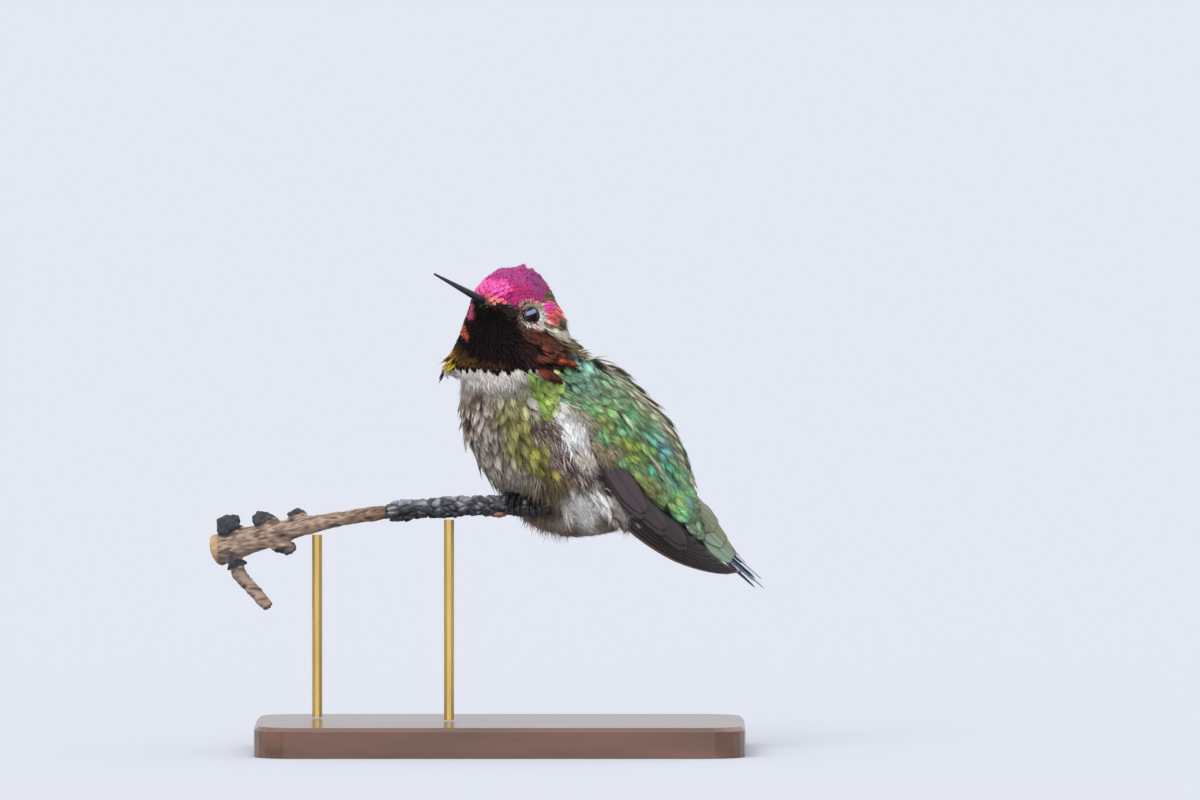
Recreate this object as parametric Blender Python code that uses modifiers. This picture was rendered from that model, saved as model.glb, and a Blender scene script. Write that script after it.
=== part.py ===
"""A life-size male Anna's hummingbird, perched on a short cut branch that a display stand holds.

Metres, +Z up. The origin is the middle of the underside of the stand's base. The bird faces -X with its left
side to -Y, fluffed against the cold, and turns its head towards -Y. Head, throat, neck, trunk and rump are
modelled as one body and parted by thin cuts. The wings, tail feathers, bill, eyes, legs and toes are pieces of
their own. Every surface here is the outside of the plumage.
"""

import math

import bmesh
import bpy
from mathutils import Matrix, Vector

MM = 0.001
GAP = 0.3 * MM  # between pieces that meet

# The stand.
BASE_SIZE = Vector((96, 56, 6)) * MM
BASE_CORNER = 8 * MM
BASE_EDGE = 0.8 * MM
ROD_RADIUS = 1.0 * MM
ROD_XS = (-36 * MM, -10 * MM)

# The perch: a dead branch that arches along X, its left end further from the viewer.
PERCH_CUT_X = -56 * MM
PERCH_TIP_X = 9.8 * MM
PERCH_CREST = 48.4 * MM  # height of the branch's centreline at x = 0
PERCH_DROOP = 3.1  # per metre: how fast the centreline falls away on both sides
PERCH_SWING = -0.42  # dy/dx
PERCH_TIP_Y = -10.0 * MM
CHAR_START_X = -21.6 * MM  # where the burnt bark sleeve begins
BARK_THICKNESS = 0.55 * MM

# The body's frame: sagittal plane through BODY_ROOT, turned BODY_YAW from the XZ plane.
BODY_YAW = math.radians(15)
BODY_DROP = math.radians(49)  # slope of the trunk's axis, neck to tail
BODY_ROOT = Vector((7.1, -0.5, 79.8)) * MM  # on the axis, at the root of the neck
# The trunk's outlines are blunt half eggs beside a middle line, in millimetres: the place along the axis of the
# fullest section, the reach to the neck's end and to the tail's end from there, and the height at the fullest.
TRUNK_SPAN = (-7.0, 45.0)
TRUNK_SAG = -7.7  # the middle line lies this far to the belly side of the axis
BACK_EGG = (22.0, 29.0, 26.0, 16.5)
BELLY_EGG = (17.5, 24.5, 20.5, 17.2)
FLANK_EGG = (18.0, 27.0, 27.0, 15.5)
VENT_LINE = (-13.0, 37.0)  # the under tail coverts rise towards the tail from this height at this place
EGG_POWER = 2.3

# The head's frame.
HEAD_CENTRE = Vector((2.7, -3.0, 87.7)) * MM
HEAD_YAW = math.radians(50)
HEAD_PITCH = math.radians(21)
HEAD_LENGTH = 19.4 * MM
HEAD_WIDTH = 15.4 * MM
HEAD_HEIGHT = 15.2 * MM
BILL_DROP = 2.4 * MM  # the bill's line lies this far below the head's centre
BILL_BASE = 7.6 * MM  # forward of the head's centre
BILL_TIP = 24.7 * MM
EYE_RADIUS = 2.0 * MM
EYE_PLACE = Vector((1.9, 5.9, -2.3)) * MM  # forward, left, up from the head's centre

# The gorget: level ovals of throat feathers, widening downwards. Each is height, forward half, side half, shift.
GORGET_LEVELS = (
    (89.0, 6.6, 5.8, 0.6),
    (86.4, 8.0, 7.4, 0.8),
    (83.6, 8.6, 9.2, 1.0),
    (80.6, 9.2, 11.0, 1.2),
    (77.6, 9.7, 12.8, 1.4),
    (75.4, 9.9, 14.2, 1.5),
    (74.2, 9.4, 13.9, 1.4),
    (73.5, 7.6, 11.4, 1.2),
)

FLARE_PLACE = Vector((-4.5, 12.0, 76.2)) * MM  # the gorget's long side feathers: forward, out, height
FLARE_SIZE = Vector((6.0, 3.4, 2.6)) * MM

# Each wing: three layers of flight feathers from the body outwards. Values in millimetres of the body's frame:
# start, end along the axis; lower edge at start, at end and its bow; upper edge the same.
WING_LAYERS = {
    "primaries_outer": (13.0, 60.5, -6.0, 0.5, 9.0, -2.5, 1.0, -1.0),
    "primaries_inner": (12.0, 49.0, -5.0, -3.2, 6.2, -1.5, -2.4, -2.0),
    "secondaries": (11.0, 38.5, -4.0, -5.8, 3.2, -0.5, -4.6, -3.4),
}
FEATHER_THICKNESS = 0.6 * MM
LAYER_STEP = FEATHER_THICKNESS + GAP
WING_DROOP = {"left": 0.86, "right": 0.5}  # share of the bow of the lower edge: the far wing sits higher
WING_LATERAL = 15.3  # the inmost layer's distance from the sagittal plane at the shoulder
WING_LATERAL_TIP = 5.7
WING_ROOM = (10.5, 61.0, -6.4, 0.2, 9.2, -0.2, 1.4, -3.6)  # the space that all its layers leave in the body

# The tail's feather groups: distance from the middle, drop below the middle pair, end, half width.
TAIL_ROOT = 43.0
TAIL_GROUPS = {
    "middle": (0.0, 0.0, 60.0, 3.2),
    "inner": (2.4, 0.95, 64.2, 1.9),
    "outer": (3.4, 1.9, 66.5, 1.6),
}

# Feet: where each stands along the branch, and how far apart its front toes are.
FOOT_XS = {"right": 3.5 * MM, "left": 7.6 * MM}
TOE_SPACING = 1.15 * MM
TOE_RADIUS = 0.42 * MM
CLAW_LENGTH_DEG = 38
HIP_OFFSET = Vector((1.5, -3.5, 5.0)) * MM  # from the sole: tailward, to the left, up

COLOURS = {
    "throat": ((0.03, 0.012, 0.014), 0.35, 0.3),
    "crown": ((0.55, 0.03, 0.22), 0.35, 0.5),
    "breast": ((0.42, 0.40, 0.36), 0.8, 0.0),
    "back": ((0.06, 0.22, 0.12), 0.45, 0.4),
    "flight": ((0.045, 0.035, 0.04), 0.5, 0.0),
    "tail": ((0.05, 0.06, 0.09), 0.45, 0.1),
    "bill": ((0.02, 0.02, 0.025), 0.3, 0.0),
    "eye": ((0.01, 0.01, 0.012), 0.05, 0.0),
    "foot": ((0.03, 0.027, 0.026), 0.6, 0.0),
    "wood": ((0.28, 0.19, 0.12), 0.85, 0.0),
    "char": ((0.03, 0.03, 0.034), 0.7, 0.0),
    "stand_wood": ((0.07, 0.035, 0.02), 0.4, 0.0),
    "stand_metal": ((0.45, 0.36, 0.2), 0.3, 1.0),
}


# ---------------------------------------------------------------- frames of reference

TAILWARD = Vector((math.cos(BODY_YAW), math.sin(BODY_YAW), 0))
BODY_LEFT = Vector((math.sin(BODY_YAW), -math.cos(BODY_YAW), 0))
UP = Vector((0, 0, 1))
AXIS = TAILWARD * math.cos(BODY_DROP) - UP * math.sin(BODY_DROP)
DORSAL = TAILWARD * math.sin(BODY_DROP) + UP * math.cos(BODY_DROP)
FACING = Vector((-math.cos(HEAD_YAW), -math.sin(HEAD_YAW), 0))
HEAD_LEFT = Vector((math.sin(HEAD_YAW), -math.cos(HEAD_YAW), 0))
HEAD_FORWARD = FACING * math.cos(HEAD_PITCH) + UP * math.sin(HEAD_PITCH)
HEAD_UP = UP * math.cos(HEAD_PITCH) - FACING * math.sin(HEAD_PITCH)


def body_point(along, dorsal, left):
    """A point of the body's frame, from metres along the axis, towards the back and to the bird's left."""
    return BODY_ROOT + AXIS * along + DORSAL * dorsal + BODY_LEFT * left


def head_point(forward, left, up):
    return HEAD_CENTRE + HEAD_FORWARD * forward + HEAD_LEFT * left + HEAD_UP * up


def perch_point(x):
    """The branch's centreline at x."""
    y = PERCH_TIP_Y + PERCH_SWING * (x - PERCH_TIP_X)
    return Vector((x, y, PERCH_CREST - PERCH_DROOP * x * x))


def perch_radius(x):
    """The wood's radius: slim along the bare stretch, swelling to the cut end and pinched at the tip."""
    swell = max(0.0, (-30 * MM - x) / (26 * MM)) ** 1.3
    pinch = max(0.0, (x - 4 * MM) / (6 * MM)) ** 2
    return (1.45 + 1.8 * swell - 0.45 * pinch) * MM


# ---------------------------------------------------------------- making objects


def new_collection(name, hidden=False):
    collection = bpy.data.collections.new(name)
    bpy.context.scene.collection.children.link(collection)
    collection.hide_render = hidden
    return collection


def material(slot):
    found = bpy.data.materials.get(slot)
    if found:
        return found
    colour, roughness, metallic = COLOURS[slot]
    made = bpy.data.materials.new(slot)
    made.use_nodes = True
    shader = made.node_tree.nodes["Principled BSDF"]
    shader.inputs["Base Color"].default_value = (*colour, 1)
    shader.inputs["Roughness"].default_value = roughness
    shader.inputs["Metallic"].default_value = metallic
    made.diffuse_color = (*colour, 1)
    return made


def put(name, data, slot, collection):
    obj = bpy.data.objects.new(name, data)
    collection.objects.link(obj)
    data.materials.clear()
    data.materials.append(material(slot))
    return obj


def helper(name, data):
    """An object that shapes others and isn't part of the model."""
    obj = bpy.data.objects.new(name, data)
    CUTTERS.objects.link(obj)
    obj.hide_render = True
    obj.display_type = "WIRE"
    return obj


def mesh_of(bm, name):
    bmesh.ops.recalc_face_normals(bm, faces=bm.faces)
    mesh = bpy.data.meshes.new(name)
    bm.to_mesh(mesh)
    bm.free()
    return mesh


def loft(name, rings):
    """A closed skin over rings of equally many points, with a flat cap on each end."""
    bm = bmesh.new()
    rows = [[bm.verts.new(point) for point in ring] for ring in rings]
    count = len(rows[0])
    for near, far in zip(rows, rows[1:]):
        for i in range(count):
            j = (i + 1) % count
            bm.faces.new((near[i], near[j], far[j], far[i]))
    bm.faces.new(rows[0])
    bm.faces.new(rows[-1])
    return mesh_of(bm, name)


def oval(centre, side, lift, half_side, half_up, half_down=None, sides=24, power=2.0):
    """A ring in the plane of side and lift. half_down differs where the oval's two halves do."""
    half_down = half_up if half_down is None else half_down
    points = []
    for i in range(sides):
        angle = 2 * math.pi * i / sides
        c, s = math.cos(angle), math.sin(angle)
        across = math.copysign(abs(c) ** (2 / power), c) * half_side
        rise = math.copysign(abs(s) ** (2 / power), s) * (half_up if s > 0 else half_down)
        points.append(centre + side * across + lift * rise)
    return points


def evaluated(obj, name):
    """The object's mesh with its modifiers applied, in world space."""
    bpy.context.view_layer.update()
    graph = bpy.context.evaluated_depsgraph_get()
    mesh = bpy.data.meshes.new_from_object(obj.evaluated_get(graph))
    mesh.transform(obj.matrix_world)
    mesh.name = name
    return mesh


def combine(target, operation, cutters):
    """Applies Booleans to the target, one after the other."""
    for cutter in cutters:
        modifier = target.modifiers.new(operation.title(), "BOOLEAN")
        modifier.operation = operation
        modifier.object = cutter
        modifier.solver = "MANIFOLD"
    mesh = evaluated(target, target.data.name)
    target.modifiers.clear()
    target.data = mesh
    target.matrix_world = Matrix.Identity(4)
    return target


def largest_body(mesh):
    """Drops every loose island but the largest."""
    bm = bmesh.new()
    bm.from_mesh(mesh)
    unseen = set(bm.verts)
    islands = []
    while unseen:
        stack = [unseen.pop()]
        island = []
        while stack:
            vertex = stack.pop()
            island.append(vertex)
            for edge in vertex.link_edges:
                other = edge.other_vert(vertex)
                if other in unseen:
                    unseen.discard(other)
                    stack.append(other)
        islands.append(island)
    islands.sort(key=len)
    bmesh.ops.delete(bm, geom=[v for island in islands[:-1] for v in island], context="VERTS")
    bm.to_mesh(mesh)
    bm.free()
    return mesh


def grown(mesh, name, distance):
    """A copy of the mesh, its surface moved out by distance."""
    bm = bmesh.new()
    bm.from_mesh(mesh)
    bm.normal_update()
    for vertex, normal in [(v, v.normal.copy()) for v in bm.verts]:
        vertex.co += normal * distance
    return mesh_of(bm, name)


def half_space(name, point, normal):
    """A block that fills the side of the plane that normal points to, less half the gap."""
    bm = bmesh.new()
    reach = 200 * MM
    turn = UP.rotation_difference(normal).to_matrix().to_4x4()
    place = Matrix.Translation(point + normal * (reach / 2 + GAP / 2)) @ turn
    bmesh.ops.create_cube(bm, size=reach, matrix=place)
    return helper(name, mesh_of(bm, name))


def tube(name, points, radii, sides=10):
    """A tube through points, with caps. The rings stand square to the path."""
    rings = []
    side = None
    for i, point in enumerate(points):
        ahead = points[min(i + 1, len(points) - 1)] - points[max(i - 1, 0)]
        along = ahead.normalized()
        if side is None:
            side = along.orthogonal().normalized()
        side = (side - along * side.dot(along)).normalized()
        rings.append(oval(point, side, along.cross(side), radii[i], radii[i], sides=sides))
    return loft(name, rings)


# ---------------------------------------------------------------- flesh and plumage as one body


def egg(share):
    """How wide a blunt egg is at a share of its half length, -1 to 1."""
    return max(0.0, 1 - abs(share) ** EGG_POWER) ** (1 / EGG_POWER)


def half_egg(outline, along):
    """The distance of an egg's outline from its middle line, at a place along it."""
    middle, front, rear, height = outline
    return height * egg((along - middle) / (front if along < middle else rear))


def trunk_form():
    """The fluffed trunk: fullest low on the belly, its back straighter than its breast."""
    rings = []
    first, last = TRUNK_SPAN
    for i in range(19):
        along = first + (last - first) * i / 18
        top = TRUNK_SAG + half_egg(BACK_EGG, along)
        bottom = TRUNK_SAG - half_egg(BELLY_EGG, along)
        bottom = min(bottom, VENT_LINE[0] + along - VENT_LINE[1]) if along > VENT_LINE[1] else bottom
        middle = bottom + 0.48 * (top - bottom)
        centre = body_point(along * MM, middle * MM, 0)
        wide = half_egg(FLANK_EGG, along) + 0.3
        rings.append(oval(centre, BODY_LEFT, DORSAL, wide * MM, (top - middle) * MM, (middle - bottom) * MM, sides=32))
    return loft("trunk_form", rings)


def rump_form():
    """The tapering tail coverts, above and below the roots of the tail feathers."""
    stations = ((26, -4.0, 13.0, 13.0), (34, -1.8, 10.6, 9.4), (40, -0.3, 8.0, 6.6), (46, 0.9, 5.8, 4.2),
                (51, 1.7, 4.5, 2.6), (55, 2.2, 3.4, 1.6))
    rings = [
        oval(body_point(s * MM, n * MM, 0), BODY_LEFT, DORSAL, wide * MM, deep * MM, sides=24)
        for s, n, wide, deep in stations
    ]
    return loft("rump_form", rings)


def neck_form():
    rings = []
    top = HEAD_CENTRE + TAILWARD * (1.6 * MM)
    bottom = body_point(4 * MM, -4.5 * MM, 0)
    for i in range(9):
        share = -math.cos(math.pi * (i + 0.4) / 8.8)
        centre = top.lerp(bottom, 0.5 + 0.5 * share)
        size = math.sqrt(1 - share * share) * 0.35 + 0.65
        rings.append(oval(centre, BODY_LEFT, DORSAL.lerp(TAILWARD, 0.4), 9.0 * MM * size, 8.4 * MM * size))
    return loft("neck_form", rings)


def head_form():
    """The head, from the bill's root over the raised crown to the nape."""
    rings = []
    half = HEAD_LENGTH / 2
    for i in range(15):
        share = math.cos(math.pi * (i + 0.4) / 14.8)
        size = math.sqrt(1 - share * share)
        drop = -BILL_DROP * max(0.0, share) ** 2
        cheek = 1 + 0.05 * math.sin(math.pi * max(0.0, -share))
        centre = head_point(share * half, 0, drop)
        rings.append(oval(centre, HEAD_LEFT, HEAD_UP, HEAD_WIDTH / 2 * size * cheek, HEAD_HEIGHT / 2 * size))
    return loft("head_form", rings)


def gorget_form():
    """The throat shield: it spreads from the chin to a wide lower edge that overhangs the breast."""
    rings = []
    for height, ahead, wide, shift in GORGET_LEVELS:
        centre = Vector((HEAD_CENTRE.x, HEAD_CENTRE.y, height * MM)) + FACING * (shift * MM)
        rings.append(oval(centre, HEAD_LEFT, FACING, wide * MM, ahead * MM, sides=28, power=2.4))
    return loft("gorget_form", rings)


def flare_form(side):
    """The long feathers at a lower corner of the gorget, which stand out over the neck's side."""
    ahead, out, height = FLARE_PLACE
    centre = Vector((HEAD_CENTRE.x, HEAD_CENTRE.y, height)) + FACING * ahead + HEAD_LEFT * (side * out)
    rings = []
    for i in range(9):
        share = math.cos(math.pi * (i + 0.3) / 8.6)
        size = math.sqrt(1 - share * share)
        middle = centre + FACING * (share * FLARE_SIZE.x) + UP * (share * 1.2 * MM)
        rings.append(oval(middle, HEAD_LEFT, UP, FLARE_SIZE.y * size, FLARE_SIZE.z * size, sides=14))
    return loft("flare_form", rings)


def wing_lateral(along, dorsal):
    """Distance of the inmost wing layer from the sagittal plane, in millimetres, along the body's round side."""
    run = min(1.0, max(0.0, (along - 18) / 42))
    flank = WING_LATERAL + (WING_LATERAL_TIP - WING_LATERAL) * run**1.25
    shoulder = 0.016 * max(0.0, 22 - along) ** 2
    return flank - shoulder - 0.022 * (dorsal + 3.5) ** 2 * (1 - 0.6 * run)


def wing_surface(side, outline, lift=0.0, columns=12, rows=4):
    """One layer of folded flight feathers as an open sheet that follows the body's side."""
    start, end, low_a, low_b, low_bow, high_a, high_b, high_bow = outline
    bm = bmesh.new()
    grid = []
    for i in range(columns + 1):
        share = i / columns
        bow = math.sin(math.pi * min(1.0, 0.04 + 0.96 * share)) ** 0.6
        low = low_a + (low_b - low_a) * share - low_bow * bow * WING_DROOP["left" if side > 0 else "right"]
        high = high_a + (high_b - high_a) * share - high_bow * bow
        along = start + (end - start) * share
        line = []
        for j in range(rows + 1):
            dorsal = low + (high - low) * j / rows
            left = side * (wing_lateral(along, dorsal) + lift / MM)
            line.append(bm.verts.new(body_point(along * MM, dorsal * MM, left * MM)))
        grid.append(line)
    for near, far in zip(grid, grid[1:]):
        for j in range(rows):
            bm.faces.new((near[j], near[j + 1], far[j + 1], far[j]))
    return mesh_of(bm, "wing_surface")


def thick_sheet(name, mesh, side, thickness):
    """The sheet made solid, outwards from the body."""
    obj = helper(name, mesh)
    solid = obj.modifiers.new("Solidify", "SOLIDIFY")
    solid.thickness = thickness
    outward = sum((p.normal.dot(BODY_LEFT) * side for p in mesh.polygons)) > 0
    solid.offset = 1 if outward else -1
    solid.use_quality_normals = True
    made = evaluated(obj, name)
    bpy.data.objects.remove(obj)
    return made


def tail_sheet(group, side, spread, columns):
    """One group of tail feathers: a narrow tapering sheet, tilted down at its outer edge."""
    shift, drop, end, half = TAIL_GROUPS[group]
    bm = bmesh.new()
    grid = []
    rows = 3
    for i in range(columns + 1):
        share = i / columns
        along = TAIL_ROOT + (end + spread - TAIL_ROOT) * share
        taper = (1 - max(0.0, (share - 0.72) / 0.28) ** 2.4 * 0.82) * (0.75 + 0.25 * share)
        line = []
        for j in range(rows + 1):
            across = (2 * j / rows - 1) * (half * taper + spread)
            left = side * (shift * (0.65 + 0.35 * share)) + across
            dorsal = 2.7 + 1.9 * share - drop - 0.055 * left * left
            line.append(bm.verts.new(body_point(along * MM, dorsal * MM, left * MM)))
        grid.append(line)
    for near, far in zip(grid, grid[1:]):
        for j in range(rows):
            bm.faces.new((near[j], near[j + 1], far[j + 1], far[j]))
    return mesh_of(bm, f"tail_{group}")


def tail_solid(name, group, side, thickness, spread=0.0, columns=8):
    obj = helper(name, tail_sheet(group, side, spread, columns))
    solid = obj.modifiers.new("Solidify", "SOLIDIFY")
    solid.thickness = thickness
    solid.offset = 0
    made = evaluated(obj, name)
    bpy.data.objects.remove(obj)
    return made


def whole_body():
    """Head, throat, neck, trunk and rump as one smooth closed mesh."""
    forms = (trunk_form(), rump_form(), neck_form(), head_form(), gorget_form(), flare_form(1), flare_form(-1))
    bm = bmesh.new()
    for form in forms:
        bm.from_mesh(form)
    body = helper("whole_body", mesh_of(bm, "whole_body"))
    remesh = body.modifiers.new("Remesh", "REMESH")
    remesh.mode = "VOXEL"
    remesh.voxel_size = 0.7 * MM
    smooth = body.modifiers.new("Smooth", "SMOOTH")
    smooth.factor = 0.5
    smooth.iterations = 5
    thin = body.modifiers.new("Decimate", "DECIMATE")
    thin.ratio = 0.045
    body.data = evaluated(body, "whole_body")
    body.modifiers.clear()
    return body


# ---------------------------------------------------------------- the pieces


def add_wings(body):
    """Flight feathers in three layers a side, let into the body's flanks."""
    for name, side in (("left", 1), ("right", -1)):
        for rank, (layer, outline) in enumerate(WING_LAYERS.items()):
            sheet = wing_surface(side, outline, rank * LAYER_STEP)
            mesh = thick_sheet(f"wing_{name}_{layer}", sheet, side, FEATHER_THICKNESS)
            put(f"wing_{name}_{layer}", mesh, "flight", BIRD)
        room = thick_sheet(f"wing_room_{name}", wing_surface(side, WING_ROOM, -GAP), side, 5 * MM)
        combine(body, "DIFFERENCE", [helper(f"wing_room_{name}", room)])


def add_coverts(bare):
    """The scapulars and wing coverts: a curved pad on each side of the back."""
    for name, side in (("left", 1), ("right", -1)):
        pad = put(f"wing_{name}_coverts", grown(bare, "coverts", 1.6 * MM), "back", BIRD)
        rings = []
        for i in range(9):
            share = math.cos(math.pi * (i + 0.3) / 8.6)
            size = math.sqrt(1 - share * share)
            centre = body_point((24.5 - 19 * share) * MM, (4.5 - 1.0 * share) * MM, side * 12 * MM)
            rings.append(oval(centre, BODY_LEFT, DORSAL, 10.5 * MM * size, 9.5 * MM * size, sides=18))
        region = helper(f"covert_region_{name}", loft("covert_region", rings))
        inner = helper(f"covert_inner_{name}", grown(bare, "covert_inner", GAP))
        combine(pad, "INTERSECT", [region])
        combine(pad, "DIFFERENCE", [inner, bpy.data.objects[f"wing_room_{name}"]])
        largest_body(pad.data)


def add_tail(body):
    for group in TAIL_GROUPS:
        for name, side in (("left", 1), ("right", -1)):
            if group == "middle" and side < 0:
                continue
            label = "tail_middle" if group == "middle" else f"tail_{group}_{name}"
            put(label, tail_solid(label, group, side, 0.55 * MM), "tail", BIRD)
            room = helper(f"room_{label}", tail_solid(f"room_{label}", group, side, 0.55 * MM + 2 * GAP, 0.35, 4))
            combine(body, "DIFFERENCE", [room])


def half_bill(name, sign):
    """One mandible: half an oval that tapers to the tip."""
    rings = []
    for i in range(9):
        share = i / 8
        taper = 1 - share**0.85
        wide = (0.28 + 0.78 * taper) * MM
        deep = (0.22 + (0.72 if sign > 0 else 0.5) * taper) * MM
        centre = head_point(BILL_BASE + (BILL_TIP - BILL_BASE) * share, 0, -BILL_DROP + sign * 0.06 * MM)
        ring = oval(centre, HEAD_LEFT, HEAD_UP * sign, wide, deep, 0.0, sides=10)
        rings.append(ring[:6])
    return loft(name, rings)


def add_head_pieces(body):
    for name, sign in (("bill_upper", 1), ("bill_lower", -1)):
        put(name, half_bill(name, sign), "bill", BIRD)
    base, tip = (head_point(f, 0, -BILL_DROP) for f in (BILL_BASE - 2 * GAP, BILL_TIP))
    room = tube("bill_room", [base, tip], [1.45 * MM, 1.45 * MM], sides=12)
    combine(body, "DIFFERENCE", [helper("bill_room", room)])
    forward, left, up = EYE_PLACE
    for name, side in (("left", 1), ("right", -1)):
        for label, radius in (("eye", EYE_RADIUS), ("socket", EYE_RADIUS + GAP)):
            bm = bmesh.new()
            place = Matrix.Translation(head_point(forward, side * left, up))
            bmesh.ops.create_uvsphere(bm, u_segments=14, v_segments=8, radius=radius, matrix=place)
            mesh = mesh_of(bm, f"{label}_{name}")
            if label == "eye":
                put(f"eye_{name}", mesh, "eye", BIRD)
            else:
                combine(body, "DIFFERENCE", [helper(f"socket_{name}", mesh)])


def ring_about_perch(x, angle, distance):
    """A point beside the branch at x: angle 0 is above it, positive towards -Y."""
    along = (perch_point(x + MM) - perch_point(x - MM)).normalized()
    side = along.cross(UP).normalized()
    lift = side.cross(along)
    return perch_point(x) + (lift * math.cos(angle) + side * math.sin(angle)) * distance


def toe(name, x, first, last, reach, slot, blunt, tip):
    """A toe or claw wrapped round the branch between two angles in degrees, at reach from its centreline."""
    steps = max(3, round(abs(last - first) / 18))
    angles = [math.radians(first + (last - first) * i / steps) for i in range(steps + 1)]
    points = [ring_about_perch(x, angle, reach) for angle in angles]
    radii = [blunt + (tip - blunt) * i / steps for i in range(steps + 1)]
    put(name, tube(name, points, radii, sides=6), slot, BIRD)


def add_feet(body):
    """On each foot three toes over the near side of the branch and one over the far side, each with its claw."""
    for name, foot_x in FOOT_XS.items():
        grip = perch_radius(foot_x) + BARK_THICKNESS + TOE_RADIUS + GAP
        places = {"inner": -TOE_SPACING, "middle": 0.0, "outer": TOE_SPACING, "hind": 0.0}
        for toe_name, shift in places.items():
            turn = -1 if toe_name == "hind" else 1
            first, last = 24, 96 if toe_name in ("middle", "hind") else 86
            claw_first = last + math.degrees((GAP + TOE_RADIUS) / grip)
            x = foot_x + shift
            toe(f"toe_{name}_{toe_name}", x, turn * first, turn * last, grip, "foot", TOE_RADIUS, TOE_RADIUS * 0.85)
            toe(f"claw_{name}_{toe_name}", x, turn * claw_first, turn * (claw_first + CLAW_LENGTH_DEG), grip - 0.05 * MM,
                "foot", TOE_RADIUS * 0.7, 0.12 * MM)
        sole = ring_about_perch(foot_x, 0, grip)
        hip = sole + TAILWARD * HIP_OFFSET.x + BODY_LEFT * HIP_OFFSET.y + UP * HIP_OFFSET.z
        leg = tube(f"leg_{name}", [sole, sole.lerp(hip, 0.5) - TAILWARD * (0.4 * MM), hip], [0.5 * MM, 0.5 * MM, 0.6 * MM])
        put(f"leg_{name}", leg, "foot", BIRD)
        room = tube(f"leg_room_{name}", [sole, hip + (hip - sole) * 0.08], [0.95 * MM, 0.95 * MM])
        combine(body, "DIFFERENCE", [helper(f"leg_room_{name}", room)])


def part_body(body):
    """Cuts the one body into head, throat, neck, trunk and rump."""
    collar_front = HEAD_CENTRE + FACING * (11 * MM) + UP * (73.0 * MM - HEAD_CENTRE.z)
    collar_back = HEAD_CENTRE - FACING * (8 * MM) + UP * (80.5 * MM - HEAD_CENTRE.z)
    collar_normal = HEAD_LEFT.cross(collar_back - collar_front).normalized()
    if collar_normal.z < 0:
        collar_normal.negate()
    gape = head_point(BILL_BASE, 0, -BILL_DROP)
    cheek_back = collar_back + UP * (1.2 * MM)
    jaw_normal = HEAD_LEFT.cross(cheek_back - gape).normalized()
    if jaw_normal.z < 0:
        jaw_normal.negate()
    shoulder = body_point(1.5 * MM, 0, 0)
    croup = body_point(39.0 * MM, 0, 0)
    cuts = {
        "head": ("crown", [(collar_back, collar_normal), (gape, jaw_normal)]),
        "throat": ("throat", [(collar_back, collar_normal), (gape, -jaw_normal)]),
        "neck": ("breast", [(collar_back, -collar_normal), (shoulder, -AXIS)]),
        "trunk": ("breast", [(collar_back, -collar_normal), (shoulder, AXIS), (croup, -AXIS)]),
        "rump": ("back", [(croup, AXIS)]),
    }
    for name, (slot, planes) in cuts.items():
        piece = put(name, body.data.copy(), slot, BIRD)
        for i, (point, normal) in enumerate(planes):
            combine(piece, "INTERSECT", [half_space(f"side_{name}_{i}", point, normal)])
        largest_body(piece.data)


def add_perch():
    """The branch: bare wood with knots and a broken twig, and the burnt bark sleeve that the bird holds."""
    count = 22
    wood_xs = [PERCH_CUT_X + (CHAR_START_X - GAP - PERCH_CUT_X) * i / count for i in range(count + 1)]
    lumps = [tube("wood", [perch_point(x) for x in wood_xs], [perch_radius(x) for x in wood_xs], sides=14)]
    twig = [perch_point(-53 * MM), perch_point(-51.5 * MM) + Vector((0, -1.0, -6.0)) * MM,
            perch_point(-45.5 * MM) + Vector((0, -1.6, -14.2)) * MM]
    lumps.append(tube("twig", twig, [1.7 * MM, 1.45 * MM, 1.15 * MM]))
    knots = ((-52.0, 2.7, 1.9, 15, 4.0), (-45.3, 2.6, 1.5, 10, 2.9), (-39.4, 2.1, 1.1, -5, 2.3), (-43.5, 2.6, 1.3, 185, 3.0))
    for x, long, tall, angle, reach in knots:
        bm = bmesh.new()
        place = ring_about_perch(x * MM, math.radians(angle), reach * MM)
        shape = Matrix.Diagonal((long * MM, tall * MM, tall * MM, 1))
        bmesh.ops.create_icosphere(bm, subdivisions=2, radius=1, matrix=Matrix.Translation(place) @ shape)
        lumps.append(mesh_of(bm, "knot"))
    bm = bmesh.new()
    for mesh in lumps:
        bm.from_mesh(mesh)
    wood = helper("perch_whole", mesh_of(bm, "perch_whole"))
    remesh = wood.modifiers.new("Remesh", "REMESH")
    remesh.mode = "VOXEL"
    remesh.voxel_size = 0.4 * MM
    thin = wood.modifiers.new("Decimate", "DECIMATE")
    thin.ratio = 0.055
    wood_mesh = largest_body(evaluated(wood, "perch_wood"))
    bpy.data.objects.remove(wood)
    put("perch_wood", wood_mesh, "wood", BIRD)
    bark_xs = [CHAR_START_X + (PERCH_TIP_X - CHAR_START_X) * i / 12 for i in range(13)]
    ripple = [BARK_THICKNESS * (1 + 0.35 * math.sin(i * 1.9)) for i in range(13)]
    bark = tube("perch_char", [perch_point(x) for x in bark_xs], [perch_radius(x) + r for x, r in zip(bark_xs, ripple)],
                sides=12)
    put("perch_char", bark, "char", BIRD)


def perch_room(name, margin):
    """The space that the branch takes up, with a margin."""
    xs = [PERCH_CUT_X + (PERCH_TIP_X + margin - PERCH_CUT_X) * i / 24 for i in range(25)]
    return helper(name, tube(name, [perch_point(x) for x in xs], [2.0 * MM + margin] * 25, sides=16))


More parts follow.
